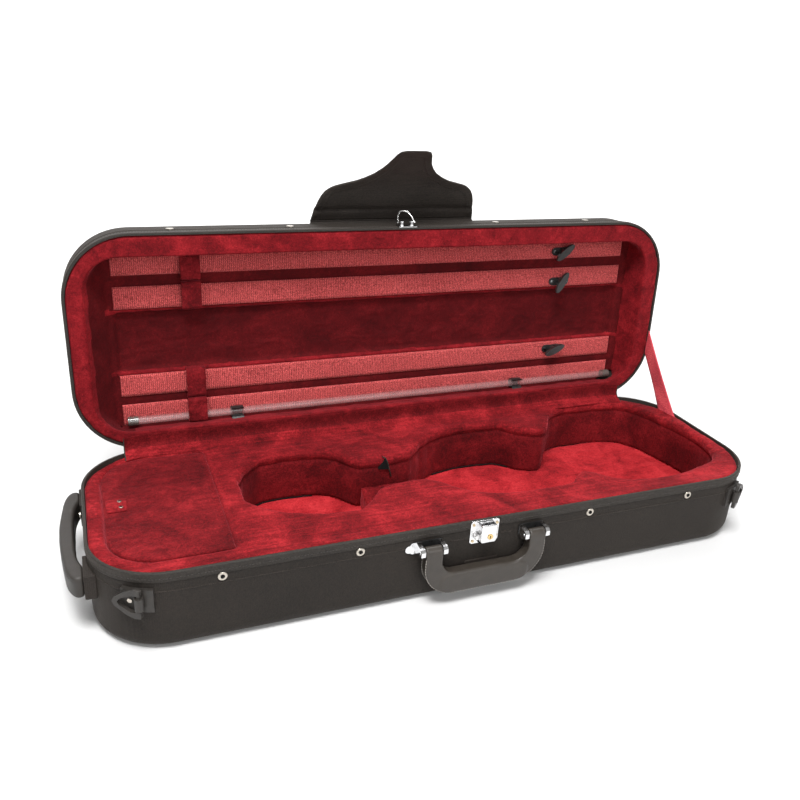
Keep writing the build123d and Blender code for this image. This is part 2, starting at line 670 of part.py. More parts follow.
for i, (px, py, ang) in enumerate(SPIN):
    with BuildPart() as spinner:
        with BuildSketch(depth(25.4)):
            with Locations(Location((px, py, 0), (0, 0, ang))):
                Ellipse(16, 4.9)
        extrude(amount=4.2)
        with BuildSketch(depth(29.6)):
            with Locations((px, py)):
                Circle(2.5)
        extrude(amount=8.8)
    done(spinner, "bow_spinner_%d" % (i + 1))

# studs along the lid's front wall
with BuildPart() as lid_studs:
    with BuildSketch(LID_FRONT):
        with Locations((-275, 25), (-137, 25), (137, 25), (275, 25)):
            Circle(4.3)
    extrude(amount=1.3)
done(lid_studs, "lid_studs")

# ---- hasp ----
HX = LOCK_X + 1
HP_Y, HP_Z = -130.5, 99.5        # hasp axle, closed coordinates
with BuildPart() as hasp_mount:
    with BuildSketch(LID_FRONT):
        with Locations((HX, 8.5)):
            RectangleRounded(25, 15, 2)
    extrude(amount=1.6)
    for s0 in (-8.0, 5.0):
        with BuildSketch(Plane(origin=lid_pt(HX + s0, HP_Y, HP_Z), x_dir=lid_dir(0, 1, 0), z_dir=(1, 0, 0))):
            with Locations((0.8, 0)):
                RectangleRounded(5.8, 5.6, 1.5)
            with Locations((2.4, 0)):
                Rectangle(2.6, 5.6)
        extrude(amount=3.0)
    with BuildSketch(Plane(origin=lid_pt(HX - 20, HP_Y, HP_Z), x_dir=lid_dir(0, 1, 0), z_dir=(1, 0, 0))):
        Circle(1.28)
    extrude(amount=40, mode=Mode.SUBTRACT)
done(hasp_mount, "hasp_mount")

# in-plane y of this plane runs from the axle to the hasp's tip
ha = radians(HASP_OPEN)
hd = (0, -sin(ha), -cos(ha))
HASP = Plane(origin=lid_pt(HX, HP_Y, HP_Z), x_dir=(1, 0, 0), z_dir=lid_dir(0, -hd[2], hd[1]))
with BuildPart() as hasp_loop:
    with BuildSketch(HASP.offset(-1.2)) as hl:
        with BuildLine():
            Polyline((-10.8, -1.2), (-10.8, 5), (-7.4, 11.5), (-7.4, 14.5), (-4, HASP_LEN + 1.2), (4, HASP_LEN + 1.2),
                     (7.4, 14.5), (7.4, 11.5), (10.8, 5), (10.8, -1.2), close=True)
        make_face()
        with BuildLine():
            Polyline((-8.6, -3), (-8.6, 4.4), (-5.1, 11.0), (-5.1, 13.6), (-3, HASP_LEN - 1.2), (3, HASP_LEN - 1.2),
                     (5.1, 13.6), (5.1, 11.0), (8.6, 4.4), (8.6, -3), close=True)
        make_face(mode=Mode.SUBTRACT)
    extrude(amount=2.4)
    with BuildSketch(Plane(origin=lid_pt(HX - 12.5, HP_Y, HP_Z), x_dir=lid_dir(0, 1, 0), z_dir=(1, 0, 0))):
        Circle(1.2)
    extrude(amount=25)
done(hasp_loop, "hasp_loop")

# ---- closure flap ----
fl = radians(FLAP_LEAN)
FLAP = Plane(origin=lid_pt(FLAP_X, -127.9, 141.5), x_dir=(1, 0, 0), z_dir=lid_dir(0, sin(fl), -cos(fl)))
half = [(110, 1.5), (104, 28), (97, 42), (86, 50), (60, 58), (40, 70), (28, 86), (22, 102), (12, 109)]
with BuildPart() as closure_flap:
    with BuildSketch(FLAP.offset(-1.2)):
        with BuildLine():
            Polyline(*([(-a, b) for a, b in half] + [(a, b) for a, b in reversed(half)]), close=True)
        make_face()
    extrude(amount=2.4)
done(closure_flap, "closure_flap")

# binding strip that the flap is sewn under, on the lid's top front edge
with BuildPart() as flap_anchor:
    with BuildSketch(Plane(origin=lid_pt(FLAP_X - 110, 0, 0), x_dir=lid_dir(0, 1, 0), z_dir=(1, 0, 0))):
        ycor, zcor = -(yw - LID_EDGE_R), H_BASE + H_LID - LID_EDGE_R
        with BuildLine():
            a1 = Line((-97, H_BASE + H_LID + 1.4), (ycor, H_BASE + H_LID + 1.4))
            a2 = CenterArc((ycor, zcor), LID_EDGE_R + 1.4, 90, 80)
            a3 = Line(a2 @ 1, (ycor + LID_EDGE_R * cos(radians(170)), zcor + LID_EDGE_R * sin(radians(170))))
            a4 = CenterArc((ycor, zcor), LID_EDGE_R, 170, -80)
            a5 = Line(a4 @ 1, (-97, H_BASE + H_LID))
            Line(a5 @ 1, a1 @ 0)
        make_face()
        with Locations((-126.4, 141.5)):                          # rolled edge the flap is stitched to
            Rectangle(3.0, 1.4)
        with Locations((-127.9, 141.5)):
            Circle(1.25)
    extrude(amount=220)
done(flap_anchor, "flap_anchor")

print("flap pivot (closed)", FLAP.origin, "hasp pivot", HASP.origin)
print("ring pivots", ring_frame(-1).origin, ring_frame(1).origin)
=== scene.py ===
import math
import bpy
import bmesh
import numpy as np
from mathutils import Vector, Matrix


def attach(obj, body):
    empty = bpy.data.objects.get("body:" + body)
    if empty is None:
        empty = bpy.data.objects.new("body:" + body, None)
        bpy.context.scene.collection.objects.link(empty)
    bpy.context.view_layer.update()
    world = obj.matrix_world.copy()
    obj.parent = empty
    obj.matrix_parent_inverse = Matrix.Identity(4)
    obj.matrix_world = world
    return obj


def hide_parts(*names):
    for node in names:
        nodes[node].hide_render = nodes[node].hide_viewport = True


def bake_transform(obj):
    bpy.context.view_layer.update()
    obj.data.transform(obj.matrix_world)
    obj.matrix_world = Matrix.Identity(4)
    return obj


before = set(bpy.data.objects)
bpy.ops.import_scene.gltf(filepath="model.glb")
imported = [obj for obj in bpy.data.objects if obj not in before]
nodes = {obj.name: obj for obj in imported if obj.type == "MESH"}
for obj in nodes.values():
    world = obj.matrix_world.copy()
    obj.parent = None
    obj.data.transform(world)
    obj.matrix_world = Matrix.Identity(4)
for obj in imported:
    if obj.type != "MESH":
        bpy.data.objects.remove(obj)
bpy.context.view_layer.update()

scene = bpy.context.scene
MM = 0.001

# ---------------------------------------------------------------- camera
cam_data = bpy.data.cameras.new("camera")
cam = bpy.data.objects.new("camera", cam_data)
scene.collection.objects.link(cam)
cam.location = (-0.3702, -0.7548, 0.5446)
cam.rotation_euler = [math.radians(a) for a in (65.94, -3.43, -21.35)]
cam_data.sensor_width = 36.0
cam_data.lens = 35.79
cam_data.clip_start = 0.01
scene.camera = cam

# ---------------------------------------------------------------- geometry helpers
OPEN = math.radians(93.3)
CA, SA = math.cos(OPEN), math.sin(OPEN)
PY, PZ = 127.0, 90.0


def lid_pt(x, y, z):
    """Closed-case millimetres to row-frame metres, with the lid open."""
    dy, dz = y - PY, z - PZ
    return Vector((x, PY + dy * CA + dz * SA, PZ - dy * SA + dz * CA)) * MM


def lid_dir(x, y, z):
    return Vector((x, y * CA + z * SA, -y * SA + z * CA))


def closed(co):
    """Row-frame metres to closed-case millimetres, for arrays."""
    x, y, z = co[:, 0] / MM, co[:, 1] / MM - PY, co[:, 2] / MM - PZ
    return np.stack([x, PY + y * CA - z * SA, PZ + y * SA + z * CA], 1)


def link(name, mesh):
    o = bpy.data.objects.new(name, mesh)
    scene.collection.objects.link(o)
    return o


def shade(o, smooth=True):
    me = o.data
    me.polygons.foreach_set("use_smooth", np.full(len(me.polygons), smooth))
    me.update()


def from_nodes(name, *srcs):
    bm = bmesh.new()
    for s in srcs:
        bm.from_mesh(nodes[s].data)
    bmesh.ops.remove_doubles(bm, verts=bm.verts, dist=1e-6)
    me = bpy.data.meshes.new(name)
    bm.to_mesh(me)
    bm.free()
    return link(name, me)


def apply_mods(o):
    dg = bpy.context.evaluated_depsgraph_get()
    me = bpy.data.meshes.new_from_object(o.evaluated_get(dg))
    o.modifiers.clear()
    old = o.data
    o.data = me
    bpy.data.meshes.remove(old)
    me.name = o.name


def voxel(o, size, smooth=0, factor=0.5):
    m = o.modifiers.new("r", "REMESH")
    m.mode = "VOXEL"
    m.voxel_size = size * MM
    m.adaptivity = 0
    if smooth:
        s = o.modifiers.new("s", "SMOOTH")
        s.factor = factor
        s.iterations = smooth
    bpy.context.view_layer.update()
    apply_mods(o)
    shade(o)


def arrays(o):
    me = o.data
    n = len(me.vertices)
    co = np.empty(n * 3)
    me.vertices.foreach_get("co", co)
    no = np.empty(n * 3)
    me.vertices.foreach_get("normal", no)
    return co.reshape(-1, 3), no.reshape(-1, 3)


def put(o, co):
    o.data.vertices.foreach_set("co", co.ravel())
    o.data.update()


def vnoise(p, seed=0):
    i = np.floor(p).astype(np.int64)
    f = p - i
    u = f * f * (3 - 2 * f)

    def h(dx, dy, dz):
        n = ((i[:, 0] + dx) * 374761393 + (i[:, 1] + dy) * 668265263 + (i[:, 2] + dz) * 1440662683 + seed * 1274126177) & 0xFFFFFFFF
        n = ((n ^ (n >> 13)) * 1274126177) & 0xFFFFFFFF
        n = n ^ (n >> 16)
        return (n & 0xFFFFFF) / float(0x7FFFFF) - 1.0
    x0 = h(0, 0, 0) * (1 - u[:, 0]) + h(1, 0, 0) * u[:, 0]
    x1 = h(0, 1, 0) * (1 - u[:, 0]) + h(1, 1, 0) * u[:, 0]
    x2 = h(0, 0, 1) * (1 - u[:, 0]) + h(1, 0, 1) * u[:, 0]
    x3 = h(0, 1, 1) * (1 - u[:, 0]) + h(1, 1, 1) * u[:, 0]
    y0 = x0 * (1 - u[:, 1]) + x1 * u[:, 1]
    y1 = x2 * (1 - u[:, 1]) + x3 * u[:, 1]
    return y0 * (1 - u[:, 2]) + y1 * u[:, 2]


def fnoise(p, seed=0, octaves=3):
    v, a, t = 0.0, 1.0, 0.0
    for k in range(octaves):
        v = v + a * vnoise(p * 2 ** k, seed + k)
        t += a
        a *= 0.5
    return v / t


def bell(v, centre, width):
    return np.exp(-((v - centre) / width) ** 2)


def mesh_from(name, verts, faces, smooth=True):
    me = bpy.data.meshes.new(name)
    me.from_pydata([tuple(v) for v in verts], [], faces)
    me.validate()
    o = link(name, me)
    bm = bmesh.new()
    bm.from_mesh(me)
    bmesh.ops.recalc_face_normals(bm, faces=bm.faces)
    bm.to_mesh(me)
    bm.free()
    shade(o, smooth)
    return o


def slab(name, front, back, nu, nv):
    """Closed sheet from two nu x nv grids of points."""
    V = list(front) + list(back)
    N = nu * nv
    F = []
    for i in range(nu - 1):
        for j in range(nv - 1):
            a, b, c, d = i * nv + j, (i + 1) * nv + j, (i + 1) * nv + j + 1, i * nv + j + 1
            F.append((a, b, c, d))
            F.append((N + d, N + c, N + b, N + a))
    for i in range(nu - 1):
        a, b = i * nv, (i + 1) * nv
        F.append((b, a, N + a, N + b))
        a, b = i * nv + nv - 1, (i + 1) * nv + nv - 1
        F.append((a, b, N + b, N + a))
    for j in range(nv - 1):
        F.append((j, j + 1, N + j + 1, N + j))
        a = (nu - 1) * nv + j
        F.append((a + 1, a, N + a, N + a + 1))
    return mesh_from(name, V, F)


def rr_path(hx, hy, r, step):
    """Points and outward normals along a rounded rectangle, in mm."""
    pts = []
    segs = [((hx - r, hy), (-(hx - r), hy), (0, 1)), ("a", (-(hx - r), hy - r), 90), ((-hx, hy - r), (-hx, -(hy - r)), (-1, 0)),
            ("a", (-(hx - r), -(hy - r)), 180), ((-(hx - r), -hy), (hx - r, -hy), (0, -1)), ("a", (hx - r, -(hy - r)), 270),
            ((hx, -(hy - r)), (hx, hy - r), (1, 0)), ("a", (hx - r, hy - r), 0)]
    for s in segs:
        if s[0] == "a":
            n = max(4, int(r * math.pi / 2 / step))
            for k in range(n):
                a = math.radians(s[2] + 90.0 * k / n)
                pts.append((s[1][0] + r * math.cos(a), s[1][1] + r * math.sin(a), math.cos(a), math.sin(a)))
        else:
            (x0, y0), (x1, y1), nn = s
            d = math.hypot(x1 - x0, y1 - y0)
            n = max(1, int(d / step))
            for k in range(n):
                t = k / n
                pts.append((x0 + (x1 - x0) * t, y0 + (y1 - y0) * t, nn[0], nn[1]))
    return pts


def bead(name, pts, nrm, radius, cyclic=True, sides=8, flat=0.75):
    """A welt or cord swept along points (metres) with outward normals; closed tube mesh."""
    n = len(pts)
    V, F = [], []
    for i in range(n):
        a = pts[(i - 1) % n] if (cyclic or i > 0) else pts[0]
        b = pts[(i + 1) % n] if (cyclic or i < n - 1) else pts[-1]
        t = (b - a).normalized()
        o = nrm[i].normalized()
        s = t.cross(o).normalized()
        for k in range(sides):
            an = 2 * math.pi * k / sides
            V.append(pts[i] + o * (radius * flat * math.cos(an)) + s * (radius * math.sin(an)))
    m = n if cyclic else n - 1
    for i in range(m):
        for k in range(sides):
            a, b = i * sides + k, i * sides + (k + 1) % sides
            c, d = ((i + 1) % n) * sides + (k + 1) % sides, ((i + 1) % n) * sides + k
            F.append((a, b, c, d))
    if not cyclic:
        F.append(tuple(range(sides))[::-1])
        F.append(tuple((n - 1) * sides + k for k in range(sides)))
    return mesh_from(name, V, F)


def stitches(name, pts, nrm, pitch=3.4, length=2.3, r=0.32, lift=0.12):
    """A row of sewn stitches, one small rounded thread each, along points in metres."""
    V, F = [], []
    acc = 0.0
    P = [pts[0]]
    Q = [nrm[0]]
    T = []
    d_next = 0.0
    run = 0.0
    centres = []
    for i in range(len(pts) - 1):
        a, b = pts[i], pts[i + 1]
        d = (b - a).length
        if d < 1e-9:
            continue
        while d_next <= run + d:
            t = (d_next - run) / d
            centres.append((a.lerp(b, t), nrm[i].lerp(nrm[i + 1], t).normalized(), (b - a).normalized()))
            d_next += pitch * MM
        run += d
    S = 6
    prof = [(-0.5, 0.15), (-0.42, 0.7), (-0.2, 1.0), (0.2, 1.0), (0.42, 0.7), (0.5, 0.15)]
    for c, o, t in centres:
        s = t.cross(o).normalized()
        base = len(V)
        for (u, w) in prof:
            sink = -abs(u) ** 2 * 0.9 * r * MM
            for k in range(S):
                an = 2 * math.pi * k / S
                V.append(c + t * (u * length * MM) + o * (lift * MM + sink + r * w * MM * math.cos(an)) + s * (r * w * MM * math.sin(an)))
        for i in range(len(prof) - 1):
            for k in range(S):
                a, b = base + i * S + k, base + i * S + (k + 1) % S
                F.append((a, b, b + S, a + S))
        F.append(tuple(base + k for k in range(S))[::-1])
        F.append(tuple(base + (len(prof) - 1) * S + k for k in range(S)))
    return mesh_from(name, V, F)


# ---------------------------------------------------------------- materials
def new_mat(name):
    m = bpy.data.materials.new(name)
    m.use_nodes = True
    nt = m.node_tree
    nt.nodes.clear()
    out = nt.nodes.new("ShaderNodeOutputMaterial")
    b = nt.nodes.new("ShaderNodeBsdfPrincipled")
    nt.links.new(b.outputs[0], out.inputs[0])
    return m, nt, b


def obj_co(nt):
    return nt.nodes.new("ShaderNodeTexCoord").outputs["Object"]


def t_noise(nt, vec, scale, detail=3, rough=0.55, dist=0.0):
    n = nt.nodes.new("ShaderNodeTexNoise")
    nt.links.new(vec, n.inputs["Vector"])
    n.inputs["Scale"].default_value = scale
    n.inputs["Detail"].default_value = detail
    n.inputs["Roughness"].default_value = rough
    n.inputs["Distortion"].default_value = dist
    return n.outputs["Fac"]


def t_voronoi(nt, vec, scale, feature="F1"):
    n = nt.nodes.new("ShaderNodeTexVoronoi")
    n.feature = feature
    nt.links.new(vec, n.inputs["Vector"])
    n.inputs["Scale"].default_value = scale
    return n.outputs["Distance"]


def t_math(nt, op, a, b=None):
    n = nt.nodes.new("ShaderNodeMath")
    n.operation = op
    for k, v in enumerate((a, b)):
        if v is None:
            continue
        if isinstance(v, (int, float)):
            n.inputs[k].default_value = v
        else:
            nt.links.new(v, n.inputs[k])
    return n.outputs[0]


def t_ramp(nt, fac, stops):
    n = nt.nodes.new("ShaderNodeValToRGB")
    nt.links.new(fac, n.inputs[0])
    e = n.color_ramp.elements
    while len(e) > 1:
        e.remove(e[-1])
    e[0].position = stops[0][0]
    e[0].color = (*stops[0][1], 1)
    for p, c in stops[1:]:
        x = e.new(p)
        x.color = (*c, 1)
    return n.outputs[0]


def t_range(nt, fac, lo, hi, a=0.0, b=1.0):
    n = nt.nodes.new("ShaderNodeMapRange")
    nt.links.new(fac, n.inputs[0])
    n.inputs[1].default_value, n.inputs[2].default_value = a, b
    n.inputs[3].default_value, n.inputs[4].default_value = lo, hi
    return n.outputs[0]


def t_bump(nt, height, strength, distance, normal=None):
    n = nt.nodes.new("ShaderNodeBump")
    n.inputs["Strength"].default_value = strength
    n.inputs["Distance"].default_value = distance
    nt.links.new(height, n.inputs["Height"])
    if normal is not None:
        nt.links.new(normal, n.inputs["Normal"])
    return n.outputs[0]


def t_scale(nt, vec, sx, sy, sz):
    n = nt.nodes.new("ShaderNodeMapping")
    nt.links.new(vec, n.inputs["Vector"])
    n.inputs["Scale"].default_value = (sx, sy, sz)
    return n.outputs["Vector"]


def t_weave(nt, vec, pitch):
    """Plain weave that reads on faces of any direction."""
    s = nt.nodes.new("ShaderNodeSeparateXYZ")
    nt.links.new(vec, s.inputs[0])
    k = 2 * math.pi / (pitch * MM)
    sx = t_math(nt, "SINE", t_math(nt, "MULTIPLY", s.outputs[0], k))
    sy = t_math(nt, "SINE", t_math(nt, "MULTIPLY", s.outputs[1], k))
    sz = t_math(nt, "SINE", t_math(nt, "MULTIPLY", s.outputs[2], k))
    a = t_math(nt, "MULTIPLY", sx, sy)
    b = t_math(nt, "MULTIPLY", sy, sz)
    c = t_math(nt, "MULTIPLY", sz, sx)
    return t_math(nt, "ADD", t_math(nt, "ADD", a, b), c)


def velvet(name, dark, mid, lit, sheen=(0.85, 0.13, 0.16), sw=0.45, patch=38.0, crease=0.0, calm=False):
    m, nt, b = new_mat(name)
    co = obj_co(nt)
    big = t_noise(nt, co, patch, 3, 0.6, 0.8)
    sml = t_noise(nt, co, 430.0, 3, 0.72, 0.2)
    fib = t_noise(nt, co, 1500.0, 1, 0.5, 0.0)
    med = t_noise(nt, co, 120.0, 3, 0.7, 1.2)
    kb, ks, km, kf = (0.34, 0.26, 0.16, 0.24) if calm else (0.30, 0.30, 0.28, 0.12)
    f = t_math(nt, "ADD", t_math(nt, "MULTIPLY", big, kb), t_math(nt, "MULTIPLY", sml, ks))
    f = t_math(nt, "ADD", f, t_math(nt, "MULTIPLY", med, km))
    f = t_math(nt, "ADD", f, t_math(nt, "MULTIPLY", fib, kf))
    cr = t_noise(nt, t_scale(nt, co, 0.10, 1.0, 1.0), 260.0, 2, 0.55, 0.25)
    if crease:
        f = t_math(nt, "ADD", f, t_math(nt, "MULTIPLY", t_math(nt, "SUBTRACT", cr, 0.5), 0.5 * crease))
    st = [(0.38, dark), (0.5, mid), (0.63, lit)] if calm else [(0.41, dark), (0.5, mid), (0.61, lit)]
    nt.links.new(t_ramp(nt, f, st), b.inputs["Base Color"])
    nt.links.new(t_range(nt, sml, 0.72, 0.98), b.inputs["Roughness"])
    b.inputs["Sheen Weight"].default_value = sw
    b.inputs["Sheen Roughness"].default_value = 0.38
    b.inputs["Sheen Tint"].default_value = (*sheen, 1)
    b.inputs["Specular IOR Level"].default_value = 0.12
    h = t_math(nt, "ADD", t_math(nt, "MULTIPLY", sml, 0.8), t_math(nt, "MULTIPLY", fib, 0.35))
    nb = t_bump(nt, big, 0.35, 0.004)
    if crease:
        nb = t_bump(nt, cr, min(1.0, 0.75 * crease), 0.0022, nb)
    nt.links.new(t_bump(nt, h, 0.55, 0.0011, nb), b.inputs["Normal"])
    return m


def cloth(name, a, c, pitch=1.5, rough=(0.62, 0.85), bump=0.5, sheen=0.1):
    m, nt, b = new_mat(name)
    co = obj_co(nt)
    w = t_weave(nt, co, pitch)
    grain = t_noise(nt, co, 620.0, 2, 0.6)
    big = t_noise(nt, co, 14.0, 3, 0.5)
    f = t_math(nt, "ADD", t_math(nt, "MULTIPLY", w, 0.03), t_math(nt, "MULTIPLY", grain, 0.78))
    f = t_math(nt, "ADD", f, t_math(nt, "MULTIPLY", big, 0.22))
    nt.links.new(t_ramp(nt, f, [(0.3, a), (0.72, c)]), b.inputs["Base Color"])
    nt.links.new(t_range(nt, grain, rough[0], rough[1]), b.inputs["Roughness"])
    b.inputs["Specular IOR Level"].default_value = 0.28
    b.inputs["Sheen Weight"].default_value = sheen
    b.inputs["Sheen Roughness"].default_value = 0.5
    b.inputs["Sheen Tint"].default_value = (0.5, 0.41, 0.34, 1)
    h = t_math(nt, "ADD", t_math(nt, "MULTIPLY", w, 0.14), grain)
    nt.links.new(t_bump(nt, h, bump, 0.0007), b.inputs["Normal"])
    return m


def leather(name, a, c, rough=(0.3, 0.5), scale=900.0, bump=0.25):
    m, nt, b = new_mat(name)
    co = obj_co(nt)
    cell = t_voronoi(nt, co, scale)
    n2 = t_noise(nt, co, 90.0, 3, 0.6)
    nt.links.new(t_ramp(nt, n2, [(0.1, a), (0.9, c)]), b.inputs["Base Color"])
    nt.links.new(t_range(nt, n2, rough[0], rough[1]), b.inputs["Roughness"])
    b.inputs["Specular IOR Level"].default_value = 0.5
    nt.links.new(t_bump(nt, cell, bump, 0.0003, t_bump(nt, n2, 0.04, 0.001)), b.inputs["Normal"])
    return m


def metal(name, col, rough=(0.08, 0.22), scale=220.0, bump=0.05):
    m, nt, b = new_mat(name)
    co = obj_co(nt)
    n1 = t_noise(nt, co, scale, 4, 0.65, 0.5)
    n2 = t_noise(nt, co, scale * 6, 2, 0.5)
    d = tuple(x * 0.82 for x in col)
    nt.links.new(t_ramp(nt, n1, [(0.3, d), (0.62, col)]), b.inputs["Base Color"])
    b.inputs["Metallic"].default_value = 1.0
    nt.links.new(t_range(nt, n1, rough[0], rough[1], 0.3, 0.7), b.inputs["Roughness"])
    nt.links.new(t_bump(nt, n2, bump, 0.0003), b.inputs["Normal"])
    return m


def plastic(name, a, c, rough=(0.22, 0.4), coat=0.2, bump=0.08):
    m, nt, b = new_mat(name)
    co = obj_co(nt)
    n1 = t_noise(nt, co, 160.0, 3, 0.6)
    n2 = t_noise(nt, co, 1800.0, 2, 0.5)
    nt.links.new(t_ramp(nt, n1, [(0.3, a), (0.7, c)]), b.inputs["Base Color"])
    nt.links.new(t_range(nt, n1, rough[0], rough[1]), b.inputs["Roughness"])
    b.inputs["Coat Weight"].default_value = coat
    b.inputs["Coat Roughness"].default_value = 0.15
    nt.links.new(t_bump(nt, n2, bump, 0.0002), b.inputs["Normal"])
    return m


def webbing(name, dark, mid, lit):
    m, nt, b = new_mat(name)
    co = obj_co(nt)
    w = t_weave(nt, co, 1.1)
    grain = t_noise(nt, co, 700.0, 2, 0.6)
    big = t_noise(nt, co, 22.0, 3, 0.5)
    sp_ = nt.nodes.new("ShaderNodeSeparateXYZ")
    nt.links.new(co, sp_.inputs[0])
    ribs = t_math(nt, "SINE", t_math(nt, "MULTIPLY", sp_.outputs[0], 2 * math.pi / 0.0023))
    rows = t_math(nt, "SINE", t_math(nt, "MULTIPLY", sp_.outputs[2], 2 * math.pi / 0.0031))
    f = t_math(nt, "ADD", t_math(nt, "MULTIPLY", ribs, 0.075), t_math(nt, "MULTIPLY", grain, 0.84))
    f = t_math(nt, "ADD", f, t_math(nt, "MULTIPLY", t_math(nt, "MULTIPLY", ribs, rows), 0.055))
    f = t_math(nt, "ADD", f, t_math(nt, "MULTIPLY", big, 0.11))
    nt.links.new(t_ramp(nt, f, [(0.34, dark), (0.50, mid), (0.66, lit)]), b.inputs["Base Color"])
    nt.links.new(t_range(nt, grain, 0.6, 0.85), b.inputs["Roughness"])
    b.inputs["Sheen Weight"].default_value = 0.2
    b.inputs["Sheen Roughness"].default_value = 0.45
    b.inputs["Sheen Tint"].default_value = (1.0, 0.55, 0.5, 1)
    b.inputs["Specular IOR Level"].default_value = 0.25
    nt.links.new(t_bump(nt, t_math(nt, "ADD", t_math(nt, "MULTIPLY", w, 0.5), grain), 0.5, 0.0006), b.inputs["Normal"])
    return m


def clear(name, a, c, alpha):
    m, nt, b = new_mat(name)
    co = obj_co(nt)
    n1 = t_noise(nt, co, 60.0, 3, 0.6)
    nt.links.new(t_ramp(nt, n1, [(0.3, a), (0.7, c)]), b.inputs["Base Color"])
    nt.links.new(t_range(nt, n1, 0.2, 0.26), b.inputs["Roughness"])
    b.inputs["Alpha"].default_value = alpha
    b.inputs["Specular IOR Level"].default_value = 0.8
    b.inputs["Coat Weight"].default_value = 0.8
    b.inputs["Coat Roughness"].default_value = 0.2
    nt.links.new(t_bump(nt, n1, 0.004, 0.0001), b.inputs["Normal"])
    return m


M_OXF = cloth("oxford_cloth", (0.0072, 0.0056, 0.0045), (0.025, 0.0195, 0.0155), sheen=0.07)
M_OXF2 = cloth("flap_cloth", (0.0085, 0.0066, 0.0054), (0.036, 0.028, 0.023), pitch=1.8, bump=0.6, sheen=0.10)
M_BIND = cloth("binding_tape", (0.0095, 0.0078, 0.0066), (0.036, 0.030, 0.025), pitch=1.0, rough=(0.5, 0.72), bump=0.35)
M_THREAD = cloth("thread", (0.02, 0.019, 0.018), (0.065, 0.06, 0.055), pitch=0.5, rough=(0.5, 0.7), bump=0.3)
M_VEL = velvet("velvet_base", (0.046, 0.0015, 0.0025), (0.165, 0.0054, 0.0083), (0.40, 0.0200, 0.0255), crease=0.32, calm=True, patch=20.0)
M_VEL_DOOR = velvet("velvet_door", (0.036, 0.0012, 0.0020), (0.115, 0.0038, 0.0060), (0.28, 0.0135, 0.0175), crease=0.2, calm=True, patch=20.0)
# near-black cloth for painted shade: neck slit, eyelet holes, lock crescent and floor crease
M_PAINTED_SHADE = cloth("shadow_cloth", (0.0012, 0.0010, 0.0010), (0.004, 0.0034, 0.0032), rough=(0.85, 0.95), bump=0.2, sheen=0.0)
# lighter copy of the velvet for the well floor: painted light, as the floor's nap catches the lamps
M_VEL_FLOOR_LIT = velvet("velvet_floor_lit", (0.14, 0.0048, 0.0074), (0.41, 0.0165, 0.0225), (0.66, 0.0430, 0.0510), patch=24.0, crease=0.15, calm=True)
M_VEL_LID = velvet("velvet_lid", (0.060, 0.0020, 0.0034), (0.155, 0.0050, 0.0082), (0.32, 0.0150, 0.0200), sw=0.33, calm=True)
# darker copy of the lid velvet: painted shade for the recessed panel and the walls under the rim
M_VEL_PANEL_SHADE = velvet("velvet_panel_shade", (0.036, 0.0014, 0.0022), (0.072, 0.0026, 0.0040), (0.145, 0.0066, 0.0088), sw=0.14, patch=20.0, calm=True)
M_VEL_BAND = velvet("velvet_band", (0.045, 0.0016, 0.0026), (0.130, 0.0046, 0.0074), (0.30, 0.0160, 0.0210), sw=0.32, calm=True)
# darker copy of the base velvet: painted shade for the well walls and the hinge band
M_VEL_SHADE = velvet("velvet_painted_shade", (0.034, 0.0012, 0.0020), (0.110, 0.0037, 0.0058), (0.26, 0.0130, 0.0170), sw=0.3, patch=20.0, calm=True)
M_WEB = webbing("grosgrain", (0.17, 0.019, 0.021), (0.50, 0.066, 0.067), (0.74, 0.14, 0.135))
M_WEB2 = webbing("grosgrain_stay", (0.40, 0.032, 0.050), (0.66, 0.062, 0.088), (0.80, 0.12, 0.14))
M_LEA = leather("grip_leather", (0.024, 0.0195, 0.0155), (0.046, 0.038, 0.031), rough=(0.30, 0.40), bump=0.15)
M_THR2 = cloth("thread_grey", (0.22, 0.20, 0.18), (0.50, 0.46, 0.42), pitch=0.5, rough=(0.5, 0.7), bump=0.3)
M_LEA2 = leather("grip_cloth_back", (0.016, 0.0135, 0.011), (0.036, 0.030, 0.0255), rough=(0.45, 0.6), scale=700.0, bump=0.4)
M_CHR = metal("chrome", (0.86, 0.86, 0.87))
M_CHR2 = metal("chrome_wire", (0.80, 0.79, 0.78), rough=(0.14, 0.3))
M_NIC = metal("nickel", (0.60, 0.55, 0.48), rough=(0.2, 0.4))
M_BRS = metal("brass", (0.80, 0.58, 0.26), rough=(0.14, 0.3))
M_BRS2 = metal("brass_worn", (0.66, 0.52, 0.33), rough=(0.25, 0.45))
M_PLA = plastic("black_plastic", (0.010, 0.010, 0.010), (0.022, 0.021, 0.021))
M_PLA2 = plastic("black_plastic_matt", (0.017, 0.0145, 0.0125), (0.034, 0.029, 0.025), rough=(0.42, 0.58), coat=0.0, bump=0.2)
# painted light: the pink tint in the clear tube stands for the red lining seen through it
M_CLR = clear("clear_tube", (0.50, 0.30, 0.30), (0.62, 0.40, 0.40), 0.11)
M_CAP = clear("clear_plug", (0.07, 0.06, 0.05), (0.16, 0.14, 0.13), 0.8)


def use(o, m):
    o.data.materials.clear()
    o.data.materials.append(m)


def node_mat(name, m, bevel=None):
    o = nodes[name]
    o.data.materials.clear()
    o.data.materials.append(m)
    if bevel:
        md = o.modifiers.new("edge", "BEVEL")
        md.width = bevel * MM
        md.segments = 2
        md.limit_method = "ANGLE"
        md.angle_limit = math.radians(40)
        md.harden_normals = False


def ride(o, body):
    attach(o, body)


# ---------------------------------------------------------------- base: velvet lining
L2, W2 = 395.0, 126.5
Z_TOP = 86.0

lining = from_nodes("base_lining", "well_block_back", "well_block_front", "compartment_surround")
voxel(lining, 2.3, smooth=15)
co, no = arrays(lining)
p = co / MM
wall = np.clip((0.75 - np.abs(no[:, 2])) / 0.4, 0, 1)
inner = (np.abs(p[:, 0]) < 384) & (np.abs(p[:, 1]) < 115)
rimfade = np.where(inner, 1.0, 0.0)
d = np.zeros(len(p))
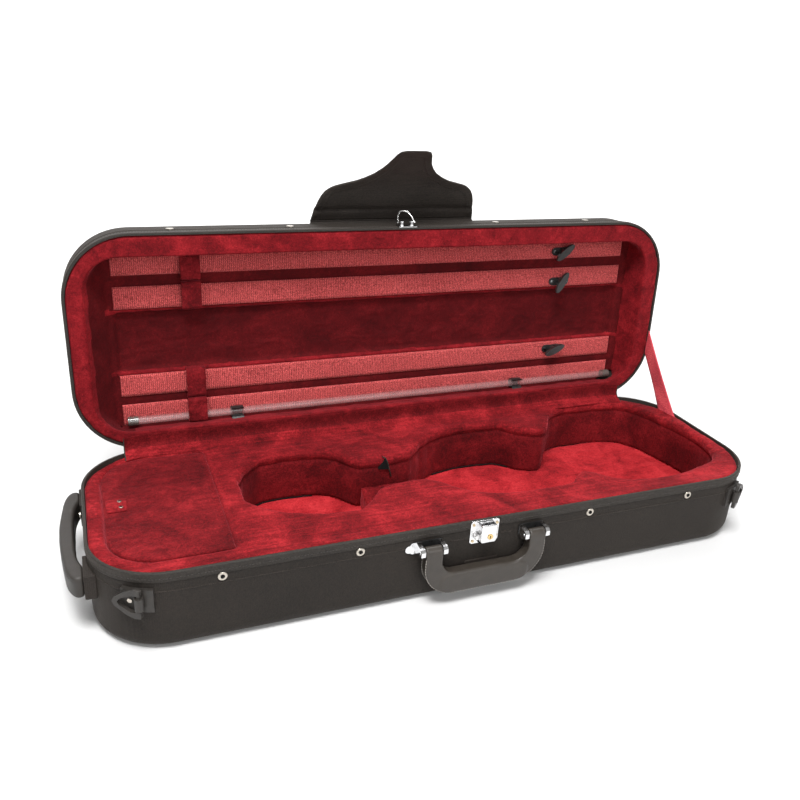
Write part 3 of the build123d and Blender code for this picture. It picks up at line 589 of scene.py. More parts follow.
# sewn crease below the top edge of the wells, with the cloth swelling either side of it
well = rimfade * wall * (p[:, 0] > -240)
d -= 2.0 * well * bell(p[:, 2], 74.0, 1.8)
d += 0.9 * well * bell(p[:, 2], 80.0, 4.0)
d += 1.0 * well * bell(p[:, 2], 52.0, 14.0)
# gathers running down the walls
q = np.stack([p[:, 0] / 13.0, p[:, 1] / 13.0, p[:, 2] / 60.0], 1)
d += 1.1 * well * fnoise(q, 3, 2)
q = np.stack([p[:, 0] / 5.0, p[:, 1] / 5.0, p[:, 2] / 30.0], 1)
d += 0.45 * well * fnoise(q, 9, 2)
# crowned, slightly rumpled top
top = np.clip((no[:, 2] - 0.5) / 0.4, 0, 1) * (p[:, 2] > 60)
edge = np.minimum(L2 - 3.5 - np.abs(p[:, 0]), W2 - 3.5 - np.abs(p[:, 1]))
d += top * (0.7 * fnoise(p / 26.0, 5, 3) + 0.35 * fnoise(p / 6.0, 7, 2))
d += top * 2.2 * np.clip(1 - edge / 18.0, 0, 1)
# seam where the accessory compartment meets the wells
d -= 1.6 * top * bell(p[:, 0], -250.0, 1.8)
put(lining, co + no * (d * MM)[:, None])
co, no = arrays(lining)
co[:, 2] = np.minimum(co[:, 2], 0.0893)
put(lining, co)
use(lining, M_VEL)
lining.data.materials.append(M_VEL_SHADE)
pn = np.empty(len(lining.data.polygons) * 3)
lining.data.polygons.foreach_get("normal", pn)
pn = pn.reshape(-1, 3)
pc = np.empty(len(lining.data.polygons) * 3)
lining.data.polygons.foreach_get("center", pc)
pc = pc.reshape(-1, 3) / MM
# painted shade: wall faces of the wells below the crease take the darker velvet
wall_shade_mask = (np.abs(pc[:, 0]) < 386) & (np.abs(pc[:, 1]) < 118) & (np.abs(pn[:, 2]) < 0.55 + 0.08 * fnoise(pc / 9.0, 88, 2)) & (pc[:, 2] < 75.2)
lining.data.polygons.foreach_set("material_index", wall_shade_mask.astype(np.int32))
ride(lining, "base")
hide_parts("well_block_back", "well_block_front", "compartment_surround")

floor = from_nodes("floor_lining", "floor_pad")
voxel(floor, 3.2, smooth=3)
co, no = arrays(floor)
p = co / MM
top = np.clip((no[:, 2] - 0.5) / 0.4, 0, 1)
d = top * (0.9 * fnoise(p / np.array([34.0, 12.0, 20.0]), 21, 3) + 0.4 * fnoise(p / 5.0, 23, 2))
# shallow lengthwise creases in the loose floor cloth
d += top * 0.7 * np.abs(fnoise(p / np.array([60.0, 9.0, 30.0]), 29, 2))
co = co + no * (d * MM)[:, None]
co[:, 2] = np.minimum(co[:, 2], 0.0235)
put(floor, co)
use(floor, M_VEL_FLOOR_LIT)
ride(floor, "base")
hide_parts("floor_pad")

saddle = from_nodes("neck_saddle", "neck_cradle")
voxel(saddle, 1.5, smooth=8)
co, no = arrays(saddle)
p = co / MM
d = 0.8 * fnoise(p / 11.0, 31, 3) + 0.3
d -= 1.0 * bell(p[:, 0], -27.5, 1.4) * (no[:, 2] > 0.3)
put(saddle, co + no * (d * MM)[:, None])
use(saddle, M_VEL)
ride(saddle, "base")
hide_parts("neck_cradle")

door = from_nodes("compartment_door_pad", "compartment_lid")
voxel(door, 1.7, smooth=4)
co, no = arrays(door)
p = co / MM
top = np.clip((no[:, 2] - 0.5) / 0.4, 0, 1)
edge = np.minimum(np.minimum(p[:, 0] + 375.5, -256.4 - p[:, 0]), np.minimum(p[:, 1] + 98, 111 - p[:, 1]))
d = top * (0.8 * np.clip(edge / 18.0, 0, 1) + 0.8 * fnoise(p / 24.0, 41, 3) + 0.35 * fnoise(p / 5.0, 43, 2))
d -= top * 1.4 * bell(p[:, 0], -262.0, 1.5)
co = co + no * (d * MM)[:, None]
put(door, co)
use(door, M_VEL_DOOR)
ride(door, "compartment_door")
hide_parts("compartment_lid")

tab = from_nodes("door_pull_tab", "compartment_pull_tab")
voxel(tab, 0.6, smooth=2)
co, no = arrays(tab)
co[:, 2] += (0.0010 + 0.0006 * np.cos((co[:, 1] - 0.009) / 0.013 * 2.2))
put(tab, co)
use(tab, M_VEL)
ride(tab, "compartment_door")
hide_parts("compartment_pull_tab")
rv = from_nodes("door_tab_rivets", "compartment_tab_rivets")
co, no = arrays(rv)
co[:, 2] += 0.0013
put(rv, co)
use(rv, M_NIC)
ride(rv, "compartment_door")
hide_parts("compartment_tab_rivets")

# ---------------------------------------------------------------- lid: velvet lining
lid = from_nodes("lid_lining", "lid_side_padding", "lid_back_panel")
voxel(lid, 2.4, smooth=12)
co, no = arrays(lid)
c = closed(co)
nn = np.array([lid_dir(0, 0, -1)[k] for k in range(3)])
facing = np.clip((no @ nn - 0.45) / 0.4, 0, 1)            # faces the lid's opening
depth = c[:, 2] - PZ
X, Y = c[:, 0], c[:, 1]
panel = facing * np.clip((depth - 34.0) / 3.0, 0, 1)
rim = facing * np.clip((12.0 - depth) / 6.0, 0, 1)
d = np.zeros(len(c))
inx = np.clip((352 - np.abs(X - 6)) / 8.0, 0, 1)


def band(v, a, b, soft=2.0):
    return np.clip((v - a) / soft, 0, 1) * np.clip((b - v) / soft, 0, 1)


centre = band(Y, -27, 42, 4.0) * band(X, -338, 348, 4.0)
qq = np.stack([X / 46.0, Y / 13.0, depth / 30.0], 1)
wr = fnoise(qq, 51, 3)
ridge = 1 - np.abs(fnoise(np.stack([X / 34.0 + Y / 16.0, Y / 11.0 - X / 62.0, depth * 0], 1), 57, 2)) * 2.6
d += panel * centre * (0.5 * wr + 1.1 * np.clip(ridge, 0, 1) ** 4)
for a, b in ((-71.6, -59.9), (75.0, 84.0)):
    d += panel * band(Y, a, b, 2.5) * inx * (0.5 + 0.4 * fnoise(np.stack([X / 9.0, Y / 9.0, depth], 1), 61, 2))
for a, b in ((-32.6, -27.6), (42.6, 47.4)):
    d += panel * band(Y, a, b, 1.4) * inx * 2.0
# the padded rim: crowned, with loose crushed cloth
d += rim * (1.1 + 0.9 * fnoise(c / 24.0, 71, 3) + 0.4 * fnoise(c / 6.0, 73, 2))
side = (1 - facing) * (depth > 6)
d += side * (1.2 * fnoise(np.stack([X / 16.0, Y / 16.0, depth / 40.0], 1), 81, 2))
d += side * 0.4 * fnoise(c / 5.0, 83, 2)
outer = (np.abs(X) > 390.6) | (np.abs(Y) > 122.2) | (depth > 48.8)
d[outer] = 0
co = co + no * (d * MM)[:, None]
c = closed(co)
c[:, 2] = np.maximum(c[:, 2], PZ + 1.2)
y, z = c[:, 1] - PY, c[:, 2] - PZ
co = np.stack([c[:, 0], PY + y * CA + z * SA, PZ - y * SA + z * CA], 1) * MM
put(lid, co)
use(lid, M_VEL_LID)
lid.data.materials.append(M_VEL_PANEL_SHADE)
pc = np.empty(len(lid.data.polygons) * 3)
lid.data.polygons.foreach_get("center", pc)
pcl = closed(pc.reshape(-1, 3))
pn = np.empty(len(lid.data.polygons) * 3)
lid.data.polygons.foreach_get("normal", pn)
pf = pn.reshape(-1, 3) @ nn
pd = pcl[:, 2] - PZ
jit = fnoise(pcl / 7.0, 87, 2)
# painted shade: faces deep in the lid, and the left and front side walls under the rim, take the darker panel velvet;
# the two raised ridges are left out so they stay lighter, as painted light on their lit edges
panel_shade = pd > 34.5 + 0.8 * jit
panel_shade &= ~((pcl[:, 1] > 42.3) & (pcl[:, 1] < 47.8) & (pd < 44.0))
panel_shade &= ~((pcl[:, 1] > -32.6) & (pcl[:, 1] < -27.4) & (pd < 42.5))
panel_shade |= (pd > 9.5 + 0.5 * jit) & (pd < 36) & ((pcl[:, 0] < -330) | (pcl[:, 1] < -99.5)) & (np.abs(pcl[:, 0]) < 388) & (np.abs(pcl[:, 1]) < 120)
lid.data.polygons.foreach_set("material_index", panel_shade.astype(np.int32))
ride(lid, "lid")
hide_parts("lid_side_padding", "lid_back_panel")

# grosgrain bow straps with real ribs
STRAP_Y = (-85.5, -46.0, 61.0, 98.0)
for i, sy in enumerate(STRAP_Y):
    x0, x1 = -341.5, 351.5
    pitch = 2.3
    nu = int((x1 - x0) / (pitch / 4)) + 1
    nv = 9
    fr, bk = [], []
    rng = np.linspace(x0, x1, nu)
    sag = fnoise(np.stack([rng / 60.0, np.full(nu, sy), np.zeros(nu)], 1), 91 + i, 2)
    for a, x in enumerate(rng):
        rib = 0.36 * math.sin(2 * math.pi * x / pitch)
        for j in range(nv):
            t = j / (nv - 1)
            yy = sy + (t - 0.5) * 26.5 + 0.15 * sag[a]
            e = 0.0 if 0 < j < nv - 1 else -0.2
            dd = 38.3 + 0.35 * sag[a] + 0.25 * math.cos((t - 0.5) * math.pi) * -1
            fr.append(lid_pt(x, yy, PZ + dd - rib + e * -1))
            bk.append(lid_pt(x, yy, PZ + dd + 1.0))
    s = slab("bow_strap_band_%d" % (i + 1), fr, bk, nu, nv)
    use(s, M_WEB)
    ride(s, "lid")
    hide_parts("bow_strap_%d" % (i + 1))

# velvet loops that hold the bow tips
for i in range(4):
    h = from_nodes("tip_loop_%d" % (i + 1), "bow_tip_holder_%d" % (i + 1))
    voxel(h, 0.85, smooth=4)
    co, no = arrays(h)
    c = closed(co)
    d = 0.5 * fnoise(c / 6.0, 101 + i, 2) + 0.25 * fnoise(c / 2.0, 111 + i, 2)
    put(h, co + no * (d * MM)[:, None])
    use(h, M_VEL_BAND)
    ride(h, "lid")
    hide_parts("bow_tip_holder_%d" % (i + 1))

# stay strap from the base lining to the lid rim, twisted as it leaves
A, B = (388.6, 39.0, 84.0), (384.8, 71.5, 84.5)
C, D = (390.6, 130.8, 151.0), (391.0, 131.8, 185.5)
nu, nv = 220, 9
fr, bk = [], []
for a in range(nu):
    s = a / (nu - 1)
    for j in range(nv):
        t = j / (nv - 1)
        pa = Vector(A).lerp(Vector(D), s)
        pb = Vector(B).lerp(Vector(C), s)
        w = pa.lerp(pb, t)
        w.x += 1.2 * math.sin(math.pi * s) * (t - 0.5) * 2
        rib = 0.16 * math.sin(2 * math.pi * s * 112 / 2.3)
        e = 0.15 if 0 < j < nv - 1 else 0.0
        fr.append(Vector((w.x - 0.55 - rib - e, w.y, w.z)) * MM)
        bk.append(Vector((w.x + 0.55, w.y, w.z)) * MM)
stay = slab("stay_webbing", fr, bk, nu, nv)
use(stay, M_WEB2)
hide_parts("stay_strap")
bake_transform(stay)

# ---------------------------------------------------------------- shell covering details
node_mat("base_shell", M_OXF)
node_mat("lid_shell", M_OXF)
node_mat("base_rim_binding", M_BIND)
node_mat("lid_rim_binding", M_BIND)
node_mat("flap_anchor", M_OXF2)
node_mat("closure_patch", M_OXF2, 0.4)


def ring(hx, hy, r, z, step, lid_side, skip=None):
    P, Nn = [], []
    for x, y, nx, ny in rr_path(hx, hy, r, step):
        if lid_side:
            P.append(lid_pt(x, y, z))
            Nn.append(lid_dir(nx, ny, 0))
        else:
            P.append(Vector((x, y, z)) * MM)
            Nn.append(Vector((nx, ny, 0)))
    return P, Nn


def runs(P, Nn, keep):
    """Splits a closed ring into the open runs whose points pass keep."""
    flags = [keep(q) for q in P]
    if all(flags):
        return [(P + [P[0]], Nn + [Nn[0]])]
    k0 = flags.index(False)
    out, cur = [], []
    for k in range(len(P)):
        i = (k0 + k) % len(P)
        if flags[i]:
            cur.append(i)
        elif cur:
            out.append(([P[j] for j in cur], [Nn[j] for j in cur]))
            cur = []
    if cur:
        out.append(([P[j] for j in cur], [Nn[j] for j in cur]))
    return [o for o in out if len(o[0]) > 2]


def near_hinge(q, back):
    x = q.x / MM
    return back(q) and min(abs(x - h) for h in (-250, 0, 250)) < 21.5


def join(name, objs):
    bm = bmesh.new()
    for o in objs:
        bm.from_mesh(o.data)
        bpy.data.objects.remove(o)
    me = bpy.data.meshes.new(name)
    bm.to_mesh(me)
    bm.free()
    o = link(name, me)
    shade(o)
    return o


XS, YS = 393.8, 125.3
keep_b = lambda q: not ((q.y > 0.12 and min(abs(q.x / MM - h) for h in (-250, 0, 250)) < 21.5) or (q.y < -0.12 and abs(q.x / MM - 3) < 19))
# piping cord under each rim binding, the binding's stitching and a sewn seam below it
objs = []
P, Nn = ring(XS + 0.4, YS + 0.4, 74.2, 80.4, 6, False)
for k, (a, b) in enumerate(runs(P, Nn, keep_b)):
    objs.append(bead("t%d" % k, a, b, 1.0 * MM, cyclic=False))
pip = join("base_piping", objs)
use(pip, M_BIND)
ride(pip, "base")
P, Nn = ring(XS + 1.35, YS + 1.35, 75.1, 83.6, 1.7, False)
objs = [stitches("t%d" % k, a, b, 3.2, 2.2, 0.26, -0.05) for k, (a, b) in enumerate(runs(P, Nn, keep_b))]
st = join("base_binding_stitches", objs)
use(st, M_THREAD)
ride(st, "base")
keep_s = lambda q: not ((q.y > 0.12 and min(abs(q.x / MM - h) for h in (-250, 0, 250)) < 21.5) or (q.y < -0.12 and abs(q.x / MM - 3) < 19)
                        or (q.y < -0.12 and abs(abs(q.x / MM) - 61) < 21) or (q.y < -0.07 and 338 < abs(q.x / MM) < 366 and False))
P, Nn = ring(XS + 0.05, YS + 0.05, 73.9, 68.5, 6, False)
objs = [bead("t%d" % k, a, b, 0.75 * MM, cyclic=False, flat=0.6) for k, (a, b) in enumerate(runs(P, Nn, keep_s))]
sm = join("base_seam", objs)
use(sm, M_OXF2)
ride(sm, "base")

keep_l = lambda q: not ((q.z < 0.13 and min(abs(q.x / MM - h) for h in (-250, 0, 250)) < 21.5) or (q.z > 0.3 and abs(q.x / MM - 5) < 14))
objs = []
P, Nn = ring(XS + 0.4, YS + 0.4, 74.2, PZ + 9.6, 6, True)
for k, (a, b) in enumerate(runs(P, Nn, keep_l)):
    objs.append(bead("t%d" % k, a, b, 1.0 * MM, cyclic=False))
pip = join("lid_piping", objs)
use(pip, M_BIND)
ride(pip, "lid")
P, Nn = ring(XS + 1.35, YS + 1.35, 75.1, PZ + 6.4, 1.7, True)
objs = [stitches("t%d" % k, a, b, 3.2, 2.2, 0.26, -0.05) for k, (a, b) in enumerate(runs(P, Nn, keep_l))]
st = join("lid_binding_stitches", objs)
use(st, M_THREAD)
ride(st, "lid")
P, Nn = ring(XS + 0.05, YS + 0.05, 73.9, PZ + 21.5, 6, True)
keep_l2 = lambda q: not ((q.z < 0.13 and min(abs(q.x / MM - h) for h in (-250, 0, 250)) < 21.5) or (q.z > 0.3 and abs(q.x / MM - 5) < 14))
objs = [bead("t%d" % k, a, b, 0.75 * MM, cyclic=False, flat=0.6) for k, (a, b) in enumerate(runs(P, Nn, keep_l2))]
sm = join("lid_seam", objs)
use(sm, M_OXF2)
ride(sm, "lid")

# velvet that carries on from the base over the hinge line into the lid, with painted shade on its upper half
prof_h = [(112.0, 86.2), (117.0, 88.6), (121.0, 90.2), (124.2, 91.6), (126.0, 93.4), (127.2, 96.4), (127.4, 100.5), (126.9, 105.5), (126.6, 109.0)]
nu, nv = 261, len(prof_h)
fr, bk = [], []
xs = np.linspace(-346, 346, nu)
for x in xs:
    drop = 78.0 - math.sqrt(78.0 ** 2 - max(0.0, abs(x) - 317.0) ** 2)
    for j, (y, z) in enumerate(prof_h):
        y = y - drop
        w = 0.55 * float(fnoise(np.array([[x / 17.0, y / 9.0, z / 9.0]]), 151, 2)[0]) + 0.25 * float(fnoise(np.array([[x / 4.0, y / 4.0, z / 4.0]]), 153, 1)[0])
        en = 1.0 if 0 < j < nv - 1 else 0.3
        fr.append(Vector((x, y - w * 0.7, z + w * 0.7)) * MM)
        bk.append(Vector((x, y + 0.9 * en, z - 0.9 * en)) * MM)
hv = slab("hinge_line_velvet", fr, bk, nu, nv)
sb = hv.modifiers.new("sub", "SUBSURF")
sb.levels = 1
sb.render_levels = 1
apply_mods(hv)
shade(hv)
use(hv, M_VEL)
hv.data.materials.append(M_BIND)
hv.data.materials.append(M_VEL_SHADE)
pc = np.empty(len(hv.data.polygons) * 3)
hv.data.polygons.foreach_get("center", pc)
pc = pc.reshape(-1, 3)
# painted shade: faces above 92.5 mm take the darker velvet as a shaded band on the lid side
mi = np.where(np.abs(pc[:, 0]) > 0.3446, 1, np.where(pc[:, 2] > 0.0925 + 0.0003 * fnoise(pc / 0.008, 89, 2), 2, 0))
hv.data.polygons.foreach_set("material_index", mi.astype(np.int32))
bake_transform(hv)

# ---------------------------------------------------------------- carrying handle
grip = from_nodes("handle_grip", "carry_handle")
voxel(grip, 1.15, smooth=5)
co, no = arrays(grip)
p = co / MM
d = 0.25 * fnoise(p / 16.0, 121, 2)
# stitched channel in from the outer edge


def u_path(inset, step=1.2):
    r = 36 - inset
    xo, zb = 70.5 - inset, 15 + inset
    pts = []
    n = int(22 / step)
    for k in range(n):
        pts.append((-xo, 73 - 22.0 * k / n))
    n = int(r * math.pi / 2 / step)
    for k in range(n):
        a = math.pi + (math.pi / 2) * k / n
        pts.append((-34.5 + r * math.cos(a), 51 + r * math.sin(a)))
    n = int(69 / step)
    for k in range(n):
        pts.append((-34.5 + 69.0 * k / n, zb))
    n = int(r * math.pi / 2 / step)
    for k in range(n):
        a = -math.pi / 2 + (math.pi / 2) * k / n
        pts.append((34.5 + r * math.cos(a), 51 + r * math.sin(a)))
    n = int(22 / step)
    for k in range(n + 1):
        pts.append((xo, 51 + 22.0 * k / n))
    return pts


def dist_to(pts, u, v):
    """Distance from points (u, v) to a polyline."""
    best = np.full(len(u), 1e9)
    for (a, b), (c2, e) in zip(pts[:-1], pts[1:]):
        dx, dy = c2 - a, e - b
        t = np.clip(((u - a) * dx + (v - b) * dy) / (dx * dx + dy * dy + 1e-12), 0, 1)
        best = np.minimum(best, np.hypot(u - a - t * dx, v - b - t * dy))
    return best


dd = dist_to(u_path(3.4, 3.0), p[:, 0], p[:, 2])
face = np.clip((np.abs(no[:, 1]) - 0.5) / 0.3, 0, 1)
d -= 0.2 * face * np.exp(-(dd / 0.9) ** 2)
put(grip, co + no * (d * MM)[:, None])
use(grip, M_LEA)
ride(grip, "handle")
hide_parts("carry_handle")
me_co, _ = arrays(grip)


def surface_y(x, z, sign):
    """How far out the grip's face is at (x, z), from its own mesh."""
    m = (np.abs(me_co[:, 0] / MM - x) < 1.6) & (np.abs(me_co[:, 2] / MM - z) < 1.6)
    ys = me_co[m, 1] / MM
    if not len(ys):
        return None
    return ys.min() if sign < 0 else ys.max()


objs = []
gy0, gy1 = me_co[me_co[:, 2] < 0.03, 1].min() / MM, me_co[me_co[:, 2] < 0.03, 1].max() / MM
for yv in (gy0 + 2.6, gy1 - 2.6):
    Q = [q for q in u_path(0.0, 1.6) if q[1] < 62]
    P, Nn = [], []
    for k in range(len(Q)):
        a, c = Q[max(0, k - 1)], Q[min(len(Q) - 1, k + 1)]
        t = Vector((c[0] - a[0], 0, c[1] - a[1])).normalized()
        n_ = Vector((t.z, 0, -t.x)) * -1
        if n_.dot(Vector((Q[k][0], 0, Q[k][1] - 60))) < 0:
            n_ = -n_
        m = (np.abs(me_co[:, 1] / MM - yv) < 1.4) & (np.hypot(me_co[:, 0] / MM - Q[k][0], me_co[:, 2] / MM - Q[k][1]) < 4.0)
        if not m.any():
            continue
        off = ((me_co[m, 0] / MM - Q[k][0]) * n_.x + (me_co[m, 2] / MM - Q[k][1]) * n_.z).max()
        P.append((Vector((Q[k][0], yv, Q[k][1])) + n_ * (off - 0.05)) * MM)
        Nn.append(n_)
    objs.append(stitches("t", P, Nn, 3.3, 2.3, 0.48, 0.10))
st = join("handle_stitches", objs)
use(st, M_THR2)
ride(st, "handle")

# ---------------------------------------------------------------- side handle
sg_ = from_nodes("side_grip", "side_handle_grip")
voxel(sg_, 1.3, smooth=5)
co, no = arrays(sg_)
p = co / MM
d = 0.3 * fnoise(p / 13.0, 131, 2)
faceout = np.clip((np.abs(no[:, 0]) - 0.4) / 0.3, 0, 1) * (p[:, 0] < -406)
for zz in (48.6, 65.4):
    d -= 0.5 * faceout * bell(p[:, 2], zz, 0.9)
put(sg_, co + no * (d * MM)[:, None])
use(sg_, M_LEA2)
ride(sg_, "base")
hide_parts("side_handle_grip")
sc, _ = arrays(sg_)
objs = []
for zz in (48.6, 65.4):
    P, Nn = [], []
    for k in range(75):
        yy = -74 + 148 * k / 74
        m = (np.abs(sc[:, 1] / MM - yy) < 1.6) & (np.abs(sc[:, 2] / MM - zz) < 1.6)
        if not m.any():
            continue
        P.append(Vector((sc[m, 0].min() / MM + 0.1, yy, zz)) * MM)
        Nn.append(Vector((-1, 0, 0)))
    objs.append(stitches("t", P, Nn, 3.6, 2.4, 0.34, 0.0))
st = join("side_grip_stitches", objs)
use(st, M_THREAD)
ride(st, "base")
tabs = from_nodes("side_grip_tabs", "side_handle_tabs")
voxel(tabs, 1.1, smooth=3)
use(tabs, M_OXF2)
ride(tabs, "base")
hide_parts("side_handle_tabs")
node_mat("side_handle_rivets", M_NIC, 0.4)

# ---------------------------------------------------------------- closure flap
fl = math.radians(26.0)
F0 = lid_pt(5, -127.9, 141.5)
FX = Vector((1, 0, 0))
FZ = lid_dir(0, math.sin(fl), -math.cos(fl))
FY = FZ.cross(FX)
half = [(110, 1.5), (107.5, 14), (104, 28), (101, 36), (97, 42), (92, 46.5), (86, 50), (73, 54), (60, 58), (50, 63), (40, 70), (33, 78), (28, 86),
        (24.5, 95), (22, 102), (18.5, 107), (12, 109)]
ss = [b for a, b in half]
ws = [a for a, b in half]
outline = [(-a, b) for a, b in half] + [(a, b) for a, b in reversed(half)] + [(-110, 1.5)]
nu, nv = 91, 71
U, S = [], []
for i in range(nu):
    t = -1 + 2 * i / (nu - 1)
    t = math.copysign(abs(t) ** 0.8, t)
    for j in range(nv):
        s = 1.5 + 107.5 * (1 - (1 - j / (nv - 1)) ** 1.25)
        w = float(np.interp(s, ss, ws))
        U.append(t * w)
        S.append(s)
U, S = np.array(U), np.array(S)
E = np.minimum(dist_to(outline[:-1], U, S), 30)
hem = np.clip((10.0 - E) / 1.2, 0, 1) * np.clip((S - 5.0) / 3.0, 0, 1)
th = 0.95 + 0.75 * hem - 0.35 * bell(E, 9.6, 0.9)
th *= np.clip(0.35 + E / 1.6, 0, 1)
bend = 22.0 * np.clip((S - 42) / 67.0, 0, 1) ** 1.6
bend = bend - 1.6 * bell(S, 16.0, 3.2) + 0.9 * fnoise(np.stack([U / 30.0, S / 22.0, S * 0], 1), 141, 2)
bend = bend * np.clip((S - 1.5) / 8.0, 0, 1)
fr, bk = [], []
for u, s, t_, bz in zip(U, S, th, bend):
    c0 = F0 + (FX * u + FY * s + FZ * bz) * MM
    fr.append(c0 + FZ * (t_ * MM))
    bk.append(c0 - FZ * (t_ * MM))
flap = slab("flap_cloth", fr, bk, nu, nv)
use(flap, M_OXF2)
ride(flap, "flap")
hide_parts("closure_flap")


def offset_line(inset):
    """The flap's outline moved in by inset, base edge left out."""
    pts = []
    L = [(-a, b) for a, b in half] + [(a, b) for a, b in reversed(half)]
    for k in range(1, len(L) - 1):
        a, b, c3 = Vector(L[k - 1]), Vector(L[k]), Vector(L[k + 1])
        t1, t2 = (b - a).normalized(), (c3 - b).normalized()
        n1 = Vector((t1.y, -t1.x))
        n2 = Vector((t2.y, -t2.x))
        n = (n1 + n2).normalized()
        n = n / max(0.5, n.dot(n1))
        pts.append(b + n * inset)
    return pts


def flap_surface(u, s, sign):
    e = float(dist_to(outline[:-1], np.array([u]), np.array([s]))[0])
    hm = min(max((10.0 - e) / 1.2, 0), 1)
    t_ = 0.95 + 0.45 * hm - 0.35 * math.exp(-((e - 9.6) / 0.9) ** 2)
    bz = 22.0 * min(max((s - 42) / 67.0, 0), 1) ** 1.6 - 1.6 * math.exp(-((s - 16.0) / 3.2) ** 2)
    bz += 0.9 * float(fnoise(np.array([[u / 30.0, s / 22.0, 0.0]]), 141, 2)[0])
    bz *= min(max((s - 1.5) / 8.0, 0), 1)
    return F0 + (FX * u + FY * s + FZ * (bz + sign * t_)) * MM


ln = offset_line(8.2)
dense = []
for a, b in zip(ln[:-1], ln[1:]):
    n = max(1, int((b - a).length / 1.5))
    for k in range(n):
        dense.append(a.lerp(b, k / n))
dense.append(ln[-1])
objs = []
for sign in (1, -1):
    P = [flap_surface(q.x, q.y, sign) for q in dense if q.y > 4]
    Nn = [FZ * sign] * len(P)
    objs.append(stitches("t", P, Nn, 3.0, 2.1, 0.3, 0.05))
st = join("flap_stitches", objs)
use(st, M_THREAD)
ride(st, "flap")

# ---------------------------------------------------------------- lock, hasp and metalwork
node_mat("lock_plate", M_CHR, 0.25)
node_mat("lock_case", M_CHR, 0.25)
node_mat("lock_slide", M_CHR2, 0.25)
node_mat("lock_rivets", M_BRS2, 0.3)
node_mat("key_plug", M_BRS, 0.3)
# painted shadow: a black crescent where the lock case's bottom meets the plate
V, F = [], []
arc = [(5.9 * math.cos(math.radians(a)), 2.9 * math.sin(math.radians(a))) for a in np.linspace(180, 360, 17)]
arc += [(x * 0.98, -0.15 - 0.9 * (1 - (x / 5.9) ** 2)) for x, _ in reversed(arc[1:-1])]
n = len(arc)
for yy in (-127.6, -128.15):
    for x, z in arc:
        V.append(Vector((5.0 - 4.2 + x, yy, 66.3 + z - 1.8)) * MM)
F = [(k, (k + 1) % n, n + (k + 1) % n, n + k) for k in range(n)] + [tuple(range(n)), tuple(range(n, 2 * n))[::-1]]
sl = mesh_from("lock_shadow_crescent", V, F, False)
use(sl, M_PAINTED_SHADE)
ride(sl, "base")
# painted shade: a black slab on the wall for the shadow in the slit by the neck block; the grey bead is the cloth's cut
# edge
tri = [(-49.6, 85.2), (-53.2, 81.0), (-59.0, 72.6), (-52.0, 71.4), (-45.4, 71.0), (-47.4, 78.6)]
n = len(tri)
V = [Vector((x, yy, z)) * MM for yy in (34.9, 39.5) for x, z in tri]
F = [(k, (k + 1) % n, n + (k + 1) % n, n + k) for k in range(n)] + [tuple(range(n)), tuple(range(n, 2 * n))[::-1]]
ns = mesh_from("neck_slit", V, F, False)
use(ns, M_PAINTED_SHADE)
ride(ns, "base")
ed = [Vector(q) * MM for q in ((-53.5, 38.6, 87.4), (-50.6, 35.4, 86.4), (-48.6, 34.6, 82.0), (-46.6, 34.5, 75.5), (-44.4, 34.6, 67.5), (-42.0, 34.9, 60.0))]
ne = bead("neck_slit_edge", ed, [Vector((0, -1, 0))] * len(ed), 0.8 * MM, cyclic=False, sides=8)
use(ne, M_BIND)
ride(ne, "base")
node_mat("handle_bracket_left", M_CHR, 0.35)
node_mat("handle_bracket_right", M_CHR, 0.35)
node_mat("handle_pins", M_CHR, 0.2)
for nm, left in (("handle_bracket_left", True), ("handle_bracket_right", False)):
    o = nodes[nm]
    o.data.materials.append(M_PLA)
    pc = np.empty(len(o.data.polygons) * 3)
    o.data.polygons.foreach_get("center", pc)
    pc = pc.reshape(-1, 3) / MM
    xm = (pc[:, 0].min() + (10.0 if left else -1.0))
    blk = (pc[:, 1] > -129.0) & (pc[:, 0] > xm)
    o.data.polygons.foreach_set("material_index", blk.astype(np.int32))
# painted shade: black discs in the eyelets for the shadow inside their holes
V, F = [], []
for ex in (-275, -137, 137, 275):
    k0 = len(V)
    for yy in (-126.95, -127.15):
        for k in range(20):
            V.append(Vector((ex + 2.16 * math.cos(2 * math.pi * k / 20), yy, 75.6 + 2.16 * math.sin(2 * math.pi * k / 20))) * MM)
    F += [(k0 + k, k0 + (k + 1) % 20, k0 + 20 + (k + 1) % 20, k0 + 20 + k) for k in range(20)]
    F += [tuple(k0 + k for k in range(20)), tuple(k0 + 20 + k for k in reversed(range(20)))]
eh = mesh_from("eyelet_hole_shade", V, F, False)
use(eh, M_PAINTED_SHADE)
ride(eh, "base")
# painted shade: a black cord laid in the crease where the back wall meets the floor
lc, ln_ = arrays(lining)
lm = lc / MM
objs = []
for xa, xb in ((-214, -128), (38, 150)):
    P = []
    for xi in np.arange(xa, xb, 3.0):
        m = (np.abs(lm[:, 0] - xi) < 1.8) & (lm[:, 2] > 22.2) & (lm[:, 2] < 27.0) & (ln_[:, 1] < -0.4) & (lm[:, 1] > 20)
        if m.any():
            P.append((xi, np.median(lm[m, 1])))
    if len(P) > 4:
        ys = np.convolve([P[0][1]] * 2 + [q[1] for q in P] + [P[-1][1]] * 2, np.ones(5) / 5, "valid")
        pts = [Vector((q[0], yv - 0.3, 22.4)) * MM for q, yv in zip(P, ys)]
        objs.append(bead("t", pts, [Vector((0, 0, 1))] * len(pts), 0.85 * MM, cyclic=False, sides=8, flat=1.0))
if objs:
    gp = join("floor_crease_shade", objs)
    use(gp, M_PAINTED_SHADE)
    ride(gp, "base")
node_mat("base_eyelets", M_NIC, 0.2)
node_mat("lid_studs", M_NIC, 0.5)
node_mat("hinge_leaves_base", M_NIC, 0.2)
node_mat("hinge_leaves_lid", M_NIC, 0.2)
node_mat("hinge_pins", M_NIC, 0.15)
node_mat("hasp_mount", M_CHR, 0.3)
